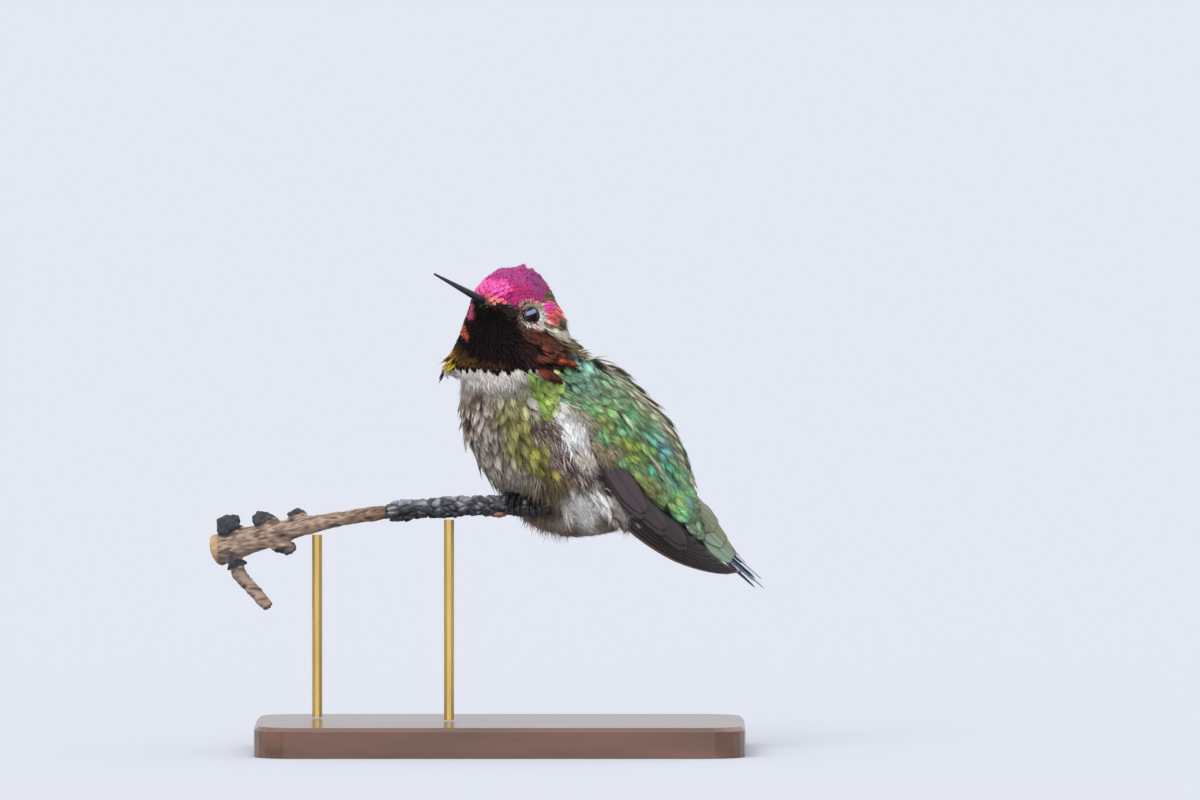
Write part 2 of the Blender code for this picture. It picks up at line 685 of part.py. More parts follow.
def add_stand():
    corners = []
    for corner, (sx, sy) in enumerate(((1, 1), (-1, 1), (-1, -1), (1, -1))):
        for i in range(7):
            angle = math.radians(90 * corner + 15 * i)
            middle = Vector((sx * (BASE_SIZE.x / 2 - BASE_CORNER), sy * (BASE_SIZE.y / 2 - BASE_CORNER), 0))
            corners.append(middle + Vector((math.cos(angle), math.sin(angle), 0)) * BASE_CORNER)
    rings = []
    for height, inset in ((0, 0), (BASE_SIZE.z - BASE_EDGE, 0), (BASE_SIZE.z, BASE_EDGE)):
        shrink = Vector((1 - 2 * inset / BASE_SIZE.x, 1 - 2 * inset / BASE_SIZE.y, 1))
        rings.append([Vector((p.x * shrink.x, p.y * shrink.y, height)) for p in corners])
    put("stand_base", loft("stand_base", rings), "stand_wood", BIRD)
    for name, x in zip(("stand_rod_left", "stand_rod_right"), ROD_XS):
        bark = BARK_THICKNESS * 1.4 if x > CHAR_START_X else 0.2 * MM
        top = perch_point(x) - UP * (perch_radius(x) + bark + GAP)
        foot = Vector((top.x, top.y, BASE_SIZE.z + GAP))
        put(name, tube(name, [foot, top], [ROD_RADIUS, ROD_RADIUS], sides=16), "stand_metal", BIRD)


# ---------------------------------------------------------------- the model

for old in list(bpy.data.objects):
    bpy.data.objects.remove(old)
BIRD = new_collection("annas_hummingbird")
CUTTERS = new_collection("cutters", hidden=True)

flesh = whole_body()
uncarved = flesh.data.copy()
add_wings(flesh)
add_coverts(uncarved)
add_tail(flesh)
add_head_pieces(flesh)
add_feet(flesh)
combine(flesh, "DIFFERENCE", [perch_room("perch_room", 1.5 * MM)])
part_body(flesh)
add_perch()
add_stand()
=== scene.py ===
"""The looks of the perched hummingbird: its skin, feathers, eyes, bill and feet, the branch and the stand.

Lengths are in millimetres until a mesh is made. Points are rows of numpy arrays.
"""

import math
from itertools import product

import bmesh
import bpy
import numpy as np
from mathutils import Matrix, Vector
from mathutils.bvhtree import BVHTree


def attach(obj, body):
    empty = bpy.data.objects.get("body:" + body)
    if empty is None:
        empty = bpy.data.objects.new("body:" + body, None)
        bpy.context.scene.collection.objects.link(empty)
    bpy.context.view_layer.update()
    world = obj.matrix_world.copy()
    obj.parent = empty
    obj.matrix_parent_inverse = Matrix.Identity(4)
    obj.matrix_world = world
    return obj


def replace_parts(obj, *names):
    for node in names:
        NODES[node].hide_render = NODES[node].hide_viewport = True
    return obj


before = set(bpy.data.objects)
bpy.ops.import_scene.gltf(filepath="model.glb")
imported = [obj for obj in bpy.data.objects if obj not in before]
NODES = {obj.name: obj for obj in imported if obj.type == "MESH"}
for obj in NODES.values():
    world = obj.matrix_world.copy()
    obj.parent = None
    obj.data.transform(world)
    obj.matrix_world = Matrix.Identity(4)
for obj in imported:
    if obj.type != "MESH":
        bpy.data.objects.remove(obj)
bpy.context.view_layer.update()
MM = 0.001
RNG = np.random.default_rng(20)


# ---------------------------------------------------------------- frames of reference


def vec(*values):
    return np.array(values, dtype=float)


def unit(v):
    """Vectors scaled to a length of one."""
    return v / np.maximum(np.linalg.norm(v, axis=-1, keepdims=True), 1e-9)


def turns(count):
    """Even angles all the way round."""
    return np.linspace(0, 2 * math.pi, count, endpoint=False)


BODY_YAW = math.radians(15)
BODY_DROP = math.radians(49)
BODY_ROOT = vec(7.1, -0.5, 79.8)
HEAD_YAW = math.radians(50)
HEAD_PITCH = math.radians(21)
HEAD_CENTRE = vec(2.7, -3.0, 87.7)
UP = vec(0, 0, 1)
TAILWARD = vec(math.cos(BODY_YAW), math.sin(BODY_YAW), 0)
BODY_LEFT = vec(math.sin(BODY_YAW), -math.cos(BODY_YAW), 0)
AXIS = TAILWARD * math.cos(BODY_DROP) - UP * math.sin(BODY_DROP)
DORSAL = TAILWARD * math.sin(BODY_DROP) + UP * math.cos(BODY_DROP)
FACING = vec(-math.cos(HEAD_YAW), -math.sin(HEAD_YAW), 0)
HEAD_LEFT = vec(math.sin(HEAD_YAW), -math.cos(HEAD_YAW), 0)
HEAD_FORWARD = FACING * math.cos(HEAD_PITCH) + UP * math.sin(HEAD_PITCH)
HEAD_UP = UP * math.cos(HEAD_PITCH) - FACING * math.sin(HEAD_PITCH)

BILL_DROP, BILL_BASE, BILL_TIP = 2.4, 7.6, 24.7
EYE_PLACE = vec(2.4, 6.6, -3.1)  # forward, left, up from the head's centre
EYE_RADIUS = 2.0
EYE_OPENING = math.radians(54)
SOCKET_PLACE = vec(1.9, 5.9, -2.3)
PERCH_CUT_X, PERCH_TIP_X, CHAR_START_X = -56.0, 9.8, -21.6
SIDES = ("left", 1), ("right", -1)


def body_point(along, dorsal, left):
    """A point given along the body's axis, towards its back and to its left."""
    along, dorsal, left = (np.asarray(c, dtype=float)[..., None] for c in (along, dorsal, left))
    return BODY_ROOT + AXIS * along + DORSAL * dorsal + BODY_LEFT * left


def body_coords(p):
    """How far points lie along the body's axis, towards its back and to its left."""
    r = p - BODY_ROOT
    return r @ AXIS, r @ DORSAL, r @ BODY_LEFT


def head_point(forward, left, up):
    """A point given from the head's centre in the head's own directions."""
    return HEAD_CENTRE + HEAD_FORWARD * forward + HEAD_LEFT * left + HEAD_UP * up


def head_coords(p):
    """How far points lie from the head's centre, forward, to its left and up."""
    r = p - HEAD_CENTRE
    return r @ HEAD_FORWARD, r @ HEAD_LEFT, r @ HEAD_UP


def eye_centre(side):
    """The centre of the left eye for side 1, and of the right one for side -1."""
    return head_point(*(EYE_PLACE * vec(1, side, 1)))


BILL_ROOT = head_point(BILL_BASE, 0, -BILL_DROP)


def perch_point(x):
    """The branch's middle at x."""
    return vec(x, -10.0 - 0.42 * (x - PERCH_TIP_X), 48.4 - 0.0031 * x * x)


# ---------------------------------------------------------------- colour


def rgb(red, green, blue):
    """Scene-linear colour from display values 0 to 255."""
    c = vec(red, green, blue) / 255
    return np.where(c <= 0.04045, c / 12.92, ((c + 0.055) / 1.055) ** 2.4)


def smoothstep(low, high, x):
    """A soft step from 0 at low to 1 at high. It falls instead where low is above high."""
    t = np.clip((x - low) / (high - low), 0, 1)
    return t * t * (3 - 2 * t)


WAVES = unit(RNG.normal(size=(14, 3))) * RNG.uniform(0.6, 1.7, (14, 1))
WAVE_PHASES = RNG.uniform(0, 2 * math.pi, 14)


def ripple(p, size, seed=0):
    """Smooth noise about -1 to 1, its features about size across."""
    turned = (p + seed * 7.3) @ (WAVES.T * (3.0 / size))
    return np.sin(turned + WAVE_PHASES).sum(axis=-1) / 4.2


def side_view(p, normals, is_head=False):
    """X and Z of each point in the side view. What faces away is first mirrored to the near side.

    is_head is one answer for all the points, or one for each.
    """
    body_left = (p - BODY_ROOT) @ BODY_LEFT
    mirrored = p - 2 * np.minimum(body_left, 0)[..., None] * BODY_LEFT
    head_left = (p - HEAD_CENTRE) @ HEAD_LEFT
    flipped = p - 2 * head_left[..., None] * HEAD_LEFT
    hidden = (smoothstep(0.0, 0.6, normals[..., 1]) * smoothstep(0.0, -1.5, head_left))[..., None]
    seen = np.where(np.reshape(is_head, (-1, 1)), p + (flipped - p) * hidden, mirrored)
    return seen[..., 0], seen[..., 2]


def paint(colour, x, z, wobble, marks):
    """Lays soft oval marks over the colour.

    Each has centre x and z, half length, half width, tilt in degrees, colour and strength.
    """
    for cx, cz, long, wide, tilt, mark, strength in marks:
        c, s = math.cos(math.radians(tilt)), math.sin(math.radians(tilt))
        a, b = (x - cx) * c + (z - cz) * s, (z - cz) * c - (x - cx) * s
        reach = np.sqrt((a / long) ** 2 + (b / wide) ** 2) + 0.22 * wobble
        share = strength * smoothstep(1.25, 0.7, reach)
        colour = colour + (rgb(*mark) - colour) * share[..., None]
    return colour


CROWN_MARKS = (
    (4.6, 93.4, 6.5, 2.4, 0, (176, 66, 132), 1.0),
    (6.9, 91.2, 1.6, 3.0, 0, (156, 62, 126), 0.9),
    (2.6, 89.6, 4.6, 2.8, 0, (184, 46, 112), 1.0),
    (-1.6, 90.6, 3.8, 2.1, 10, (255, 86, 156), 1.0),
    (-1.0, 88.6, 3.0, 1.0, -24, (255, 124, 116), 1.0),
    (2.2, 87.2, 2.4, 0.9, 4, (184, 44, 104), 1.0),
    (4.3, 87.9, 0.8, 1.0, 40, (160, 44, 100), 0.9),
)
FACE_MARKS = (
    (9.6, 89.4, 3.0, 2.6, 0, (142, 126, 92), 0.6),
    (0.4, 86.4, 5.6, 1.7, -12, (30, 20, 18), 1.0),
    (3.6, 86.2, 1.2, 1.4, -20, (44, 32, 28), 1.0),
    (4.9, 87.9, 1.5, 0.6, 20, (208, 190, 160), 1.0),
    (7.2, 88.0, 1.6, 0.6, -20, (202, 184, 158), 1.0),
    (4.3, 85.2, 0.8, 1.4, 0, (96, 78, 66), 0.9),
    (6.3, 83.3, 2.0, 0.7, 0, (124, 66, 60), 1.0),
    (7.9, 83.6, 1.0, 0.6, 0, (226, 66, 106), 1.0),
    (7.1, 89.2, 1.0, 0.9, 0, (255, 58, 120), 1.0),
    (9.6, 87.1, 1.2, 1.3, 0, (255, 56, 118), 1.0),
    (10.5, 85.3, 1.5, 1.7, 20, (255, 72, 74), 1.0),
    (9.4, 84.6, 0.8, 1.0, 0, (240, 80, 110), 0.8),
    (11.7, 81.7, 2.3, 0.8, -38, (240, 232, 216), 1.0),
)
GORGET_MARKS = (
    (-5.7, 86.8, 0.7, 2.6, 12, (252, 110, 150), 1.0),
    (-7.3, 83.0, 0.6, 2.6, 24, (232, 118, 90), 1.0),
    (-9.8, 78.8, 0.9, 2.8, 30, (236, 180, 70), 1.0),
    (-8.0, 77.8, 1.4, 1.8, 30, (92, 66, 28), 0.7),
    (-6.2, 76.2, 3.6, 0.7, 0, (120, 88, 38), 0.8),
    (-1.0, 75.6, 4.4, 0.7, 0, (66, 34, 24), 0.8),
    (6.6, 81.8, 3.2, 1.3, -30, (104, 66, 54), 0.9),
    (10.0, 79.8, 3.2, 1.2, -32, (140, 82, 62), 0.9),
    (6.4, 78.0, 3.0, 1.6, -30, (52, 26, 22), 0.8),
)
BREAST_MARKS = (
    (-5.5, 66.5, 4.4, 5.0, 0, (196, 176, 164), 0.9),
    (-3.4, 70.0, 1.4, 0.8, -40, (104, 84, 62), 1.0),
    (-5.9, 68.0, 1.3, 0.9, -50, (96, 74, 62), 1.0),
    (-3.5, 66.8, 1.3, 0.8, -50, (104, 84, 68), 1.0),
    (-7.4, 65.6, 1.2, 0.7, -60, (92, 70, 60), 1.0),
    (-5.2, 64.4, 1.4, 0.9, -50, (88, 66, 56), 1.0),
    (-1.6, 65.2, 1.2, 0.8, -50, (104, 86, 66), 0.9),
    (-3.6, 61.8, 1.2, 0.7, -60, (98, 80, 70), 0.9),
    (-1.0, 68.0, 1.1, 0.7, -50, (112, 96, 70), 0.9),
    (-1.5, 57.5, 4.0, 6.0, 0, (170, 157, 145), 0.7),
    (3.2, 66.4, 3.4, 3.6, -50, (174, 168, 116), 0.9),
    (5.8, 60.2, 7.4, 4.2, -56, (146, 140, 72), 0.9),
    (9.2, 54.4, 3.0, 2.4, -60, (122, 108, 56), 0.9),
    (4.6, 63.0, 1.2, 0.8, -50, (190, 188, 96), 0.8),
    (9.0, 62.4, 1.1, 0.9, -50, (204, 200, 84), 0.8),
    (8.2, 59.0, 1.1, 0.9, -50, (186, 182, 78), 0.7),
    (11.1, 55.4, 1.2, 1.0, -50, (206, 196, 40), 1.0),
    (6.4, 58.8, 1.0, 0.9, -50, (186, 182, 70), 0.9),
    (10.0, 59.0, 1.0, 0.9, -50, (190, 184, 60), 0.9),
    (4.0, 58.2, 1.2, 0.9, -50, (170, 166, 84), 0.7),
    (7.4, 55.2, 1.1, 0.8, -50, (192, 182, 76), 0.7),
    (12.2, 53.0, 2.2, 2.4, -40, (166, 142, 104), 0.9),
    (1.0, 73.3, 11.0, 2.0, -4, (204, 197, 190), 1.0),
    (8.6, 71.8, 3.4, 1.6, -20, (150, 140, 116), 0.7),
    (9.2, 71.6, 3.6, 2.2, -10, (160, 196, 96), 1.0),
    (8.8, 68.2, 1.7, 2.2, 0, (146, 182, 78), 1.0),
    (20.4, 59.6, 2.6, 6.0, 14, (194, 176, 142), 1.0),
    (19.6, 63.6, 1.8, 2.4, 0, (190, 184, 140), 0.9),
    (15.6, 68.4, 3.0, 1.2, -40, (196, 186, 156), 0.9),
    (13.9, 62.6, 6.4, 2.7, -61, (255, 253, 250), 1.0),
    (16.4, 57.4, 1.8, 1.6, -40, (248, 240, 226), 1.0),
    (17.2, 48.2, 5.0, 3.8, -24, (255, 252, 248), 1.0),
    (8.2, 49.6, 4.6, 2.2, -30, (172, 152, 120), 0.9),
    (6.0, 45.0, 7.0, 2.4, -14, (176, 148, 124), 0.9),
    (21.6, 44.6, 3.4, 1.8, -25, (140, 126, 104), 0.9),
    (12.0, 44.2, 4.0, 1.2, -5, (124, 106, 90), 0.9),
)
BACK_MARKS = (
    (17.4, 79.8, 5.0, 1.2, -40, (158, 142, 124), 0.9),
    (13.0, 79.4, 1.8, 3.0, 20, (176, 164, 134), 0.9),
    (18.2, 75.8, 5.0, 3.0, -40, (136, 184, 166), 1.0),
    (15.4, 72.0, 4.0, 2.2, -30, (116, 180, 156), 0.9),
    (24.0, 70.6, 5.6, 3.2, -48, (128, 168, 130), 0.9),
    (21.2, 66.0, 2.6, 2.2, -30, (132, 158, 86), 1.0),
    (18.9, 63.9, 2.4, 2.0, -20, (134, 160, 76), 1.0),
    (26.2, 64.8, 4.2, 2.8, -45, (104, 184, 128), 1.0),
    (30.2, 61.8, 2.8, 2.2, -40, (100, 184, 158), 0.9),
    (25.6, 59.6, 3.2, 2.3, -30, (146, 176, 74), 1.0),
    (29.4, 57.8, 2.4, 2.0, -30, (134, 192, 104), 0.9),
    (32.2, 59.0, 1.5, 2.6, 10, (104, 176, 180), 0.9),
    (31.2, 55.4, 2.8, 1.9, -40, (98, 200, 160), 1.0),
    (29.8, 51.6, 4.2, 1.6, -48, (160, 178, 104), 1.0),
    (34.6, 51.4, 1.5, 1.3, -40, (108, 182, 172), 1.0),
    (37.2, 47.6, 1.3, 1.7, -20, (110, 172, 164), 1.0),
    (35.0, 48.2, 2.0, 1.2, -50, (168, 202, 116), 0.9),
    (37.0, 45.0, 2.0, 1.2, -40, (122, 194, 134), 0.9),
    (43.4, 43.2, 8.0, 3.2, -45, (122, 124, 94), 1.0),
    (41.2, 40.2, 5.8, 2.0, -38, (132, 152, 128), 1.0),
)


def outline(*corners):
    """An outline's corners, two numbers each."""
    return np.array(corners, dtype=float)


# Lower edges of head tracts and outlines of body tracts, at x and z in the side view.
CROWN_EDGE = outline(
    (-20, 89.5), (-5.2, 89.9), (-4.4, 89.5), (-1.8, 88.0), (0, 86.9), (2.0, 86.5),
    (3.8, 87.4), (4.8, 88.2), (7.3, 88.7), (8.2, 90.5), (8.5, 99))
GORGET_EDGE = outline(
    (-20, 94), (-5.2, 89.5), (-4.0, 88.9), (-2.0, 87.4), (1.4, 86.5), (3.9, 85.9),
    (4.6, 84.2), (6.1, 83.3), (8.5, 83.0), (10.2, 81.8), (12.6, 79.4), (15.0, 77.8),
    (16, 70))
BACK = outline(
    (12.6, 88), (12.4, 79), (11.0, 76.6), (10.6, 74.2), (11.8, 73.0), (11.6, 69.4),
    (16.2, 68.0), (17.2, 65.8), (17.2, 62.8), (19.8, 62.2), (21.8, 59.4), (23.4, 55.9),
    (26.3, 53.9), (28.4, 49.2), (32.4, 46.6), (36.2, 42.6), (41.0, 39.0), (46, 33),
    (70, 30), (70, 100))
SHOULDER = outline(
    (5.4, 73.4), (8.0, 75.2), (10.6, 75.0), (11.8, 73.0), (11.4, 70.4), (9.6, 66.4),
    (7.2, 67.0), (7.4, 69.8))
TUFT = outline(
    (9.4, 66.8), (10.6, 68.8), (13.4, 69.4), (16.2, 68.0), (17.2, 65.8), (17.2, 62.8),
    (19.8, 62.2), (21.8, 59.4), (23.6, 54.6), (17.6, 54.6), (15.2, 57.6), (12.6, 61.8))
BAND = outline(
    (5.0, 69.0), (6.8, 68.4), (9.4, 66.8), (12.6, 61.8), (15.2, 57.6), (17.6, 54.6),
    (15.0, 52.5), (11.2, 56.5), (8.4, 61.3), (5.8, 65.4))
VENT = outline(
    (12.4, 52.2), (16.2, 53.4), (21.0, 48.6), (28.0, 42.5), (40.0, 38.0), (40.0, 30),
    (3.2, 36), (3.2, 47.5), (9.5, 47.5))
# Ovals: centre, then reach.
WING_FOLD = (14.5, 69.0), (7.5, 6.0)
SPOTTED_BREAST = (-5.0, 66.0), (5.5, 7.0)
NAPE_START, NAPE_START_BELOW = 10.9, 8.5
COLLAR_TOP, COLLAR_BOTTOM = 75.8, 70.6
BELLY_TOP, BELLY_FRONT, BELLY_REAR = 55.0, -4.0, 13.0


def inside(x, z, corners):
    """Which points lie within an outline."""
    found = np.zeros(x.shape, dtype=bool)
    for (ax, az), (bx, bz) in zip(corners, np.roll(corners, -1, axis=0)):
        crosses = (az > z) != (bz > z)
        found ^= crosses & (x < ax + (bx - ax) * (z - az) / (bz - az if bz != az else 1e-9))
    return found


def in_oval(x, z, centre, reach):
    """1 within an oval of the side view, which fades to 0 round its rim."""
    return smoothstep(1.3, 0.8, np.hypot((x - centre[0]) / reach[0], (z - centre[1]) / reach[1]))


ZONE_BASES = {"crown": (186, 46, 116), "face": (126, 112, 84), "gorget": (10, 5, 8),
              "breast": (178, 168, 158), "back": (108, 166, 116)}
ZONE_MARKS = {"crown": CROWN_MARKS, "face": FACE_MARKS, "gorget": GORGET_MARKS, "breast": BREAST_MARKS,
              "back": BACK_MARKS}


def markings(p, normals, zone):
    """The plumage's colour at points of one zone: crown, face, gorget, breast or back."""
    x, z = side_view(p, normals, zone in ("crown", "face", "gorget"))
    base = np.broadcast_to(rgb(*ZONE_BASES[zone]), p.shape)
    painted = paint(base, x, z, ripple(p, 2.6), ZONE_MARKS[zone])
    if zone != "face":
        return painted
    forward, left, _ = head_coords(p)
    aside = smoothstep(4.0, 6.0, np.abs(left) + 3 * np.maximum(forward, 0))  # the nape itself is plain
    return base + (painted - base) * aside[..., None]


# ---------------------------------------------------------------- materials


def new_material(name):
    """A material with its nodes, its links and its shader."""
    made = bpy.data.materials.new(name)
    made.use_nodes = True
    return made, made.node_tree.nodes, made.node_tree.links, made.node_tree.nodes["Principled BSDF"]


def node(nodes, kind, **settings):
    """A new node with some properties set."""
    made = nodes.new(kind)
    for key, value in settings.items():
        setattr(made, key, value)
    return made


def math_node(nodes, links, operation, *inputs):
    """The result of an operation on numbers and on other nodes' outputs."""
    made = node(nodes, "ShaderNodeMath", operation=operation)
    for i, value in enumerate(inputs):
        if isinstance(value, (int, float)):
            made.inputs[i].default_value = value
        else:
            links.new(value, made.inputs[i])
    return made.outputs[0]


def shade_tint(nodes, links, shader, value):
    """The base colour: the mesh's own colour times a grey value."""
    colour = node(nodes, "ShaderNodeAttribute", attribute_name="tint")
    grey = node(nodes, "ShaderNodeCombineXYZ")
    for i in range(3):
        links.new(value, grey.inputs[i])
    mixed = node(nodes, "ShaderNodeMix", data_type="RGBA", blend_type="MULTIPLY")
    mixed.inputs[0].default_value = 1.0
    links.new(colour.outputs["Color"], mixed.inputs[6])
    links.new(grey.outputs[0], mixed.inputs[7])
    links.new(mixed.outputs[2], shader.inputs["Base Color"])


def emboss(nodes, links, shader, height, strength, distance):
    """Relief from a height, its depth in metres."""
    bump = node(nodes, "ShaderNodeBump")
    bump.inputs["Strength"].default_value = strength
    bump.inputs["Distance"].default_value = distance
    links.new(height, bump.inputs["Height"])
    links.new(bump.outputs[0], shader.inputs["Normal"])


def noise(nodes, links, scale, detail, stretch=None):
    """A noise's value. With a stretch it lies in the object's own space."""
    made = node(nodes, "ShaderNodeTexNoise")
    made.inputs["Scale"].default_value = scale
    made.inputs["Detail"].default_value = detail
    if stretch:
        place = node(nodes, "ShaderNodeTexCoord")
        mapping = node(nodes, "ShaderNodeMapping")
        mapping.inputs["Scale"].default_value = stretch
        links.new(place.outputs["Object"], mapping.inputs[0])
        links.new(mapping.outputs[0], made.inputs["Vector"])
    return made.outputs["Fac"]


def set_finish(shader, roughness, metallic=0.0, specular=0.5):
    """How a surface shines."""
    shader.inputs["Roughness"].default_value = roughness
    shader.inputs["Metallic"].default_value = metallic
    shader.inputs["Specular IOR Level"].default_value = specular


def feather_material(name, roughness, metallic, barbs, depth, specular=0.5):
    """Colour from the mesh, crossed by fine barbs that run out from each feather's shaft."""
    made, nodes, links, shader = new_material(name)
    grain = node(nodes, "ShaderNodeAttribute", attribute_name="grain")
    parts = node(nodes, "ShaderNodeSeparateXYZ")
    links.new(grain.outputs["Vector"], parts.inputs[0])
    across = math_node(nodes, links, "ABSOLUTE", parts.outputs["Y"])
    slant = math_node(nodes, links, "MULTIPLY_ADD", across, -0.55, parts.outputs["X"])
    wave = math_node(nodes, links, "SINE", math_node(nodes, links, "MULTIPLY", slant, barbs))
    ridge = math_node(nodes, links, "MULTIPLY_ADD", wave, 0.5, 0.5)
    shade_tint(nodes, links, shader, math_node(nodes, links, "MULTIPLY_ADD", ridge, depth, 1 - depth))
    emboss(nodes, links, shader, ridge, 0.35, 0.00008)
    set_finish(shader, roughness, metallic, specular)
    return made


# ---------------------------------------------------------------- meshes


def set_tint(mesh, colours):
    """Stores a colour for each of the mesh's points."""
    rgba = np.ones((len(colours), 4), dtype=np.float32)
    rgba[:, :3] = colours
    mesh.attributes.new("tint", "FLOAT_COLOR", "POINT").data.foreach_set("color", rgba.ravel())


def threes(items, key, kind=np.float32):
    """Three numbers for each item of a mesh."""
    data = np.empty(len(items) * 3, dtype=kind)
    items.foreach_get(key, data)
    return data.reshape(-1, 3)


def set_points(mesh, verts):
    """Moves a mesh's points to millimetre places."""
    mesh.vertices.foreach_set("co", (verts * MM).astype(np.float32).ravel())


def new_object(name, data):
    """An object in the scene for a mesh, a light or a camera."""
    made = bpy.data.objects.new(name, data)
    bpy.context.scene.collection.objects.link(made)
    return made


def add_object(name, mesh, material):
    """The mesh's object, all in one material. It rides on the root."""
    mesh.polygons.foreach_set("use_smooth", np.ones(len(mesh.polygons), dtype=bool))
    mesh.materials.clear()
    mesh.materials.append(material)
    mesh.update()
    obj = new_object(name, mesh)
    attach(obj, "root")
    return obj


def add_mesh(name, verts, faces, material, colours=None, grain=None, patches=None):
    """An object from millimetre points and lists of equally sided faces."""
    mesh = bpy.data.meshes.new(name)
    loops = np.concatenate([f.ravel() for f in faces]).astype(np.int32)
    sizes = np.concatenate([np.full(len(f), f.shape[1]) for f in faces])
    starts = np.concatenate([[0], np.cumsum(sizes)[:-1]]).astype(np.int32)
    mesh.vertices.add(len(verts))
    set_points(mesh, verts)
    mesh.loops.add(len(loops))
    mesh.loops.foreach_set("vertex_index", loops)
    mesh.polygons.add(len(sizes))
    mesh.polygons.foreach_set("loop_start", starts)
    mesh.update(calc_edges=True)
    if colours is not None:
        set_tint(mesh, colours)
    if grain is not None:
        data = grain.astype(np.float32).ravel()
        mesh.attributes.new("grain", "FLOAT_VECTOR", "POINT").data.foreach_set("vector", data)
    if patches is not None:
        layer = mesh.uv_layers.new(name="OFBake")
        layer.data.foreach_set("uv", patches[loops].astype(np.float32).ravel())
    return add_object(name, mesh, material)


BODY_START, BODY_SPAN = -12, 84  # along the body's axis
BODY_MIDDLE = 7.7  # below the axis
HEAD_REACH, HEAD_FLOOR = 17.5, 72  # what lies nearer the head's centre and higher is head
PATCH_SIZE = 0.003  # of a feather


def unwrap(p):
    """Where points lie on a flat layout of the skin's shape: the head on the left, the body on the right."""
    along, dorsal, left = body_coords(p)
    body_u = 0.5 + np.arctan2(left, dorsal + BODY_MIDDLE) / (2 * math.pi)
    body_v = np.clip((along - BODY_START) / BODY_SPAN, 0.01, 0.99)
    body = np.stack([0.51 + 0.47 * body_u, body_v], -1)
    ahead, out, up = head_coords(p)
    reach = np.sqrt(ahead**2 + out**2 + up**2)
    head_u = 0.5 + np.arctan2(out, up + BILL_DROP) / (2 * math.pi)
    head_v = np.arccos(np.clip(ahead / np.maximum(reach, 1e-6), -1, 1)) / math.pi
    head = np.stack([0.02 + 0.47 * head_u, head_v], -1)
    is_head = (reach < HEAD_REACH) & (p[..., 2] > HEAD_FLOOR)
    return np.where(is_head[..., None], head, body)


class Coat:
    """Feathers of one tract, joined into one mesh."""

    def __init__(self):
        self.points, self.colours, self.grain, self.patches = [], [], [], []
        self.faces = {3: [], 4: []}
        self.count = 0

    def add(self, points, templates, colours, grain, roots):
        """points is feathers by template points, and grain is along, across and a random number for each."""
        feathers, size = points.shape[:2]
        offsets = self.count + np.arange(feathers)[:, None, None] * size
        for template in templates:
            corners = template.shape[1]
            self.faces[corners].append((template[None] + offsets).reshape(-1, corners))
        patch = unwrap(roots)[:, None, :] + PATCH_SIZE * (grain[..., 1::-1] * vec(0.5, 1.0) - vec(0, 0.5))
        self.points.append(points.reshape(-1, 3))
        self.colours.append(np.clip(colours, 0, 1).reshape(-1, 3))
        self.grain.append(grain.reshape(-1, 3))
        self.patches.append(patch.reshape(-1, 2))
        self.count += feathers * size

    def build(self, name, material, slot):
        faces = [np.concatenate(self.faces[k]) for k in (3, 4) if self.faces[k]]
        points, colours, grain, patches = (
            np.concatenate(rows) for rows in (self.points, self.colours, self.grain, self.patches))
        return add_mesh(name, points, faces, material, colours, grain, patches)


def grid_faces(index):
    """Quads over a grid of point numbers."""
    return np.stack([index[:-1, :-1], index[1:, :-1], index[1:, 1:], index[:-1, 1:]], axis=-1).reshape(-1, 4)


def grid_template(rows, columns):
    """Faces of a closed leaf: a grid on top and a fan below that shares its rim."""
    index = np.arange(rows * columns).reshape(rows, columns)
    rim = np.concatenate([index[0, :], index[1:, -1], index[-1, -2::-1], index[-2:0:-1, 0]])
    fan = np.stack([np.full(len(rim) - 2, rim[0]), rim[1:-1], rim[2:]], axis=-1)
    return grid_faces(index), fan


def remeshed(mesh, voxel, rounds):
    """A mesh's shape in even, fine faces: the new mesh, its points in millimetres and its normals."""
    source = new_object("source", mesh)
    remesh = source.modifiers.new("Remesh", "REMESH")
    remesh.mode, remesh.voxel_size = "VOXEL", voxel * MM
    smooth = source.modifiers.new("Smooth", "SMOOTH")
    smooth.factor, smooth.iterations = 0.5, rounds
    bpy.context.view_layer.update()
    made = bpy.data.meshes.new_from_object(source.evaluated_get(bpy.context.evaluated_depsgraph_get()))
    bpy.data.objects.remove(source)
    return made, threes(made.vertices, "co").astype(float) / MM, threes(made.vertices, "normal").astype(float)


# ---------------------------------------------------------------- the skin

FLESH = ("head", "throat", "neck", "trunk", "rump", "wing_left_coverts", "wing_right_coverts")
WING_LAYERS = ("primaries_outer", "primaries_inner", "secondaries")
WING_NODES = tuple(f"wing_{side}_{layer}" for side in ("left", "right") for layer in WING_LAYERS)
ALL_FLESH = FLESH + WING_NODES
TAIL_NODES = ("tail_middle", "tail_inner_left", "tail_inner_right", "tail_outer_left", "tail_outer_right")
# Body feathers cover the folded wings above a height and above a slanted plane, and the tail above a height.
WING_CUT = vec(0, 0, 56.5), UP
WING_TOP_CUT = body_point(28, -5.7, 0), unit(DORSAL - 0.19 * AXIS)
WING_END_CUT = body_point(49, 0, 0), -AXIS
TAIL_CUT = vec(0, 0, 44.0), UP
SWELL = 0.24  # closes the thin cuts between nodes
FOLD_FILL = 0.56  # swells the body further, which closes the folds at the wings
SKIN_VOXEL = 0.45


